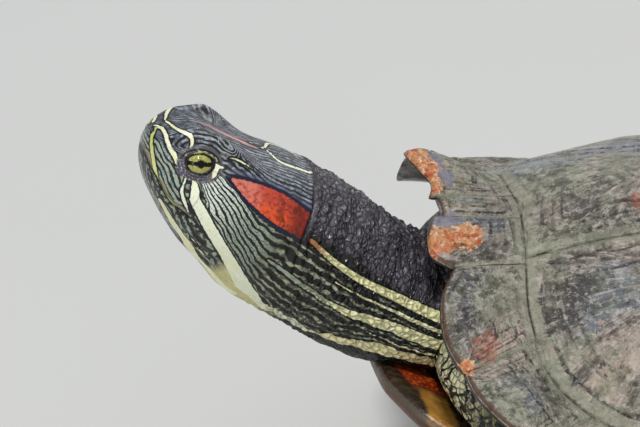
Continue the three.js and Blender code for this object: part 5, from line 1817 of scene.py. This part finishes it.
class SLIDER_OT_stage(bpy.types.Operator):
    """Sets the floor, the lamps and the camera"""

    bl_idname = "slider.stage"
    bl_label = "Stage"

    def execute(self, context):
        settings = context.scene.slider_stage
        floor = new_mesh("floor", [(x * FLOOR_HALF, y * FLOOR_HALF, FLOOR_AT) for x,
                                   y in ((-1, -1), (1, -1), (1, 1), (-1, 1))],
                         [(0, 1, 2, 3)], shift=False)
        floor.data.materials.append(plain_material("matt_studio_paper", "#d2d2cf", 0.9))
        floor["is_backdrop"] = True
        world = bpy.data.worlds.new("studio")
        context.scene.world = world
        world.use_nodes = True
        tree = world.node_tree
        tree.nodes.clear()
        lit = add(tree, "ShaderNodeBackground", {"Color": (0.94, 0.97, 1.0, 1.0),
                                                 "Strength": settings.world_light})
        add(tree, "ShaderNodeOutputWorld", {"Surface": lit})

        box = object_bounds()
        middle = (Vector(box[0]) + Vector(box[1])) / 2
        for name, toward, size, share in LAMPS:
            lamp = bpy.data.lights.new(name, "AREA")
            lamp.shape, lamp.size = "DISK", size
            lamp.energy = settings.key_light * share
            holder = bpy.data.objects.new(name, lamp)
            holder.location = middle + Vector(toward).normalized() * LAMP_AWAY
            holder.rotation_euler = (middle - holder.location).to_track_quat("-Z", "Y").to_euler()
            context.collection.objects.link(holder)

        turn, elevation = math.radians(settings.azimuth), math.radians(settings.elevation)
        out = Vector((math.cos(turn) * math.cos(elevation), math.sin(turn) * math.cos(elevation),
                      math.sin(elevation)))
        right = Vector((-math.sin(turn), math.cos(turn), 0))
        up = out.cross(right)
        target = Vector((CAMERA_LEVEL + STANCE_SHIFT) * MM) + (right * VIEW_ASIDE + up * VIEW_UP) * MM
        camera = bpy.data.cameras.new("camera")
        camera.sensor_width = SENSOR_WIDTH
        camera.lens = SENSOR_WIDTH * settings.distance / settings.span
        camera.clip_end = 30
        holder = bpy.data.objects.new("camera", camera)
        holder.location = target + out * settings.distance
        holder.rotation_euler = (-out).to_track_quat("-Z", "Y").to_euler()
        context.collection.objects.link(holder)
        context.scene.camera = holder
        context.scene.view_settings.view_transform = "Standard"
        return {"FINISHED"}


class SLIDER_PT_panel(bpy.types.Panel):
    """Lists the turtle's pieces and their settings"""

    bl_idname = "SLIDER_PT_panel"
    bl_label = "Red-eared slider"
    bl_space_type = "VIEW_3D"
    bl_region_type = "UI"
    bl_category = "Slider"

    def draw(self, context):
        scene = context.scene
        for operator, settings in ((SLIDER_OT_skin, scene.slider_hide), (SLIDER_OT_eyes, scene.slider_eyes),
                                   (SLIDER_OT_claws, None), (SLIDER_OT_carapace, scene.slider_shell),
                                   (SLIDER_OT_plastron, None), (SLIDER_OT_stage, scene.slider_stage)):
            self.layout.operator(operator.bl_idname)
            if settings:
                column = self.layout.column(align=True)
                for key in settings.bl_rna.properties.keys():
                    if key not in ("rna_type", "name"):
                        column.prop(settings, key)


GROUPS = {"slider_hide": SliderHideColours, "slider_eyes": SliderEyeColours,
          "slider_shell": SliderShellColours,
          "slider_stage": SliderStage}
OPERATORS = (SLIDER_OT_skin, SLIDER_OT_eyes, SLIDER_OT_claws, SLIDER_OT_carapace, SLIDER_OT_plastron,
             SLIDER_OT_stage)


def register():
    for kind in (*GROUPS.values(), *OPERATORS, SLIDER_PT_panel):
        bpy.utils.register_class(kind)
    for name, kind in GROUPS.items():
        setattr(bpy.types.Scene, name, PointerProperty(type=kind))


def unregister():
    for name in GROUPS:
        delattr(bpy.types.Scene, name)
    for kind in (SLIDER_PT_panel, *reversed(OPERATORS), *GROUPS.values()):
        bpy.utils.unregister_class(kind)


def main():
    register()
    bpy.ops.slider.skin()
    bpy.ops.slider.eyes()
    bpy.ops.slider.claws()
    bpy.ops.slider.carapace()
    bpy.ops.slider.plastron()
    bpy.ops.slider.stage()
    boxes = {"cad": CAD_BOX, "visual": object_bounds()}
    {key: [list(corner) for corner in box] for key, box in boxes.items()}


if __name__ == "__main__":
    main()
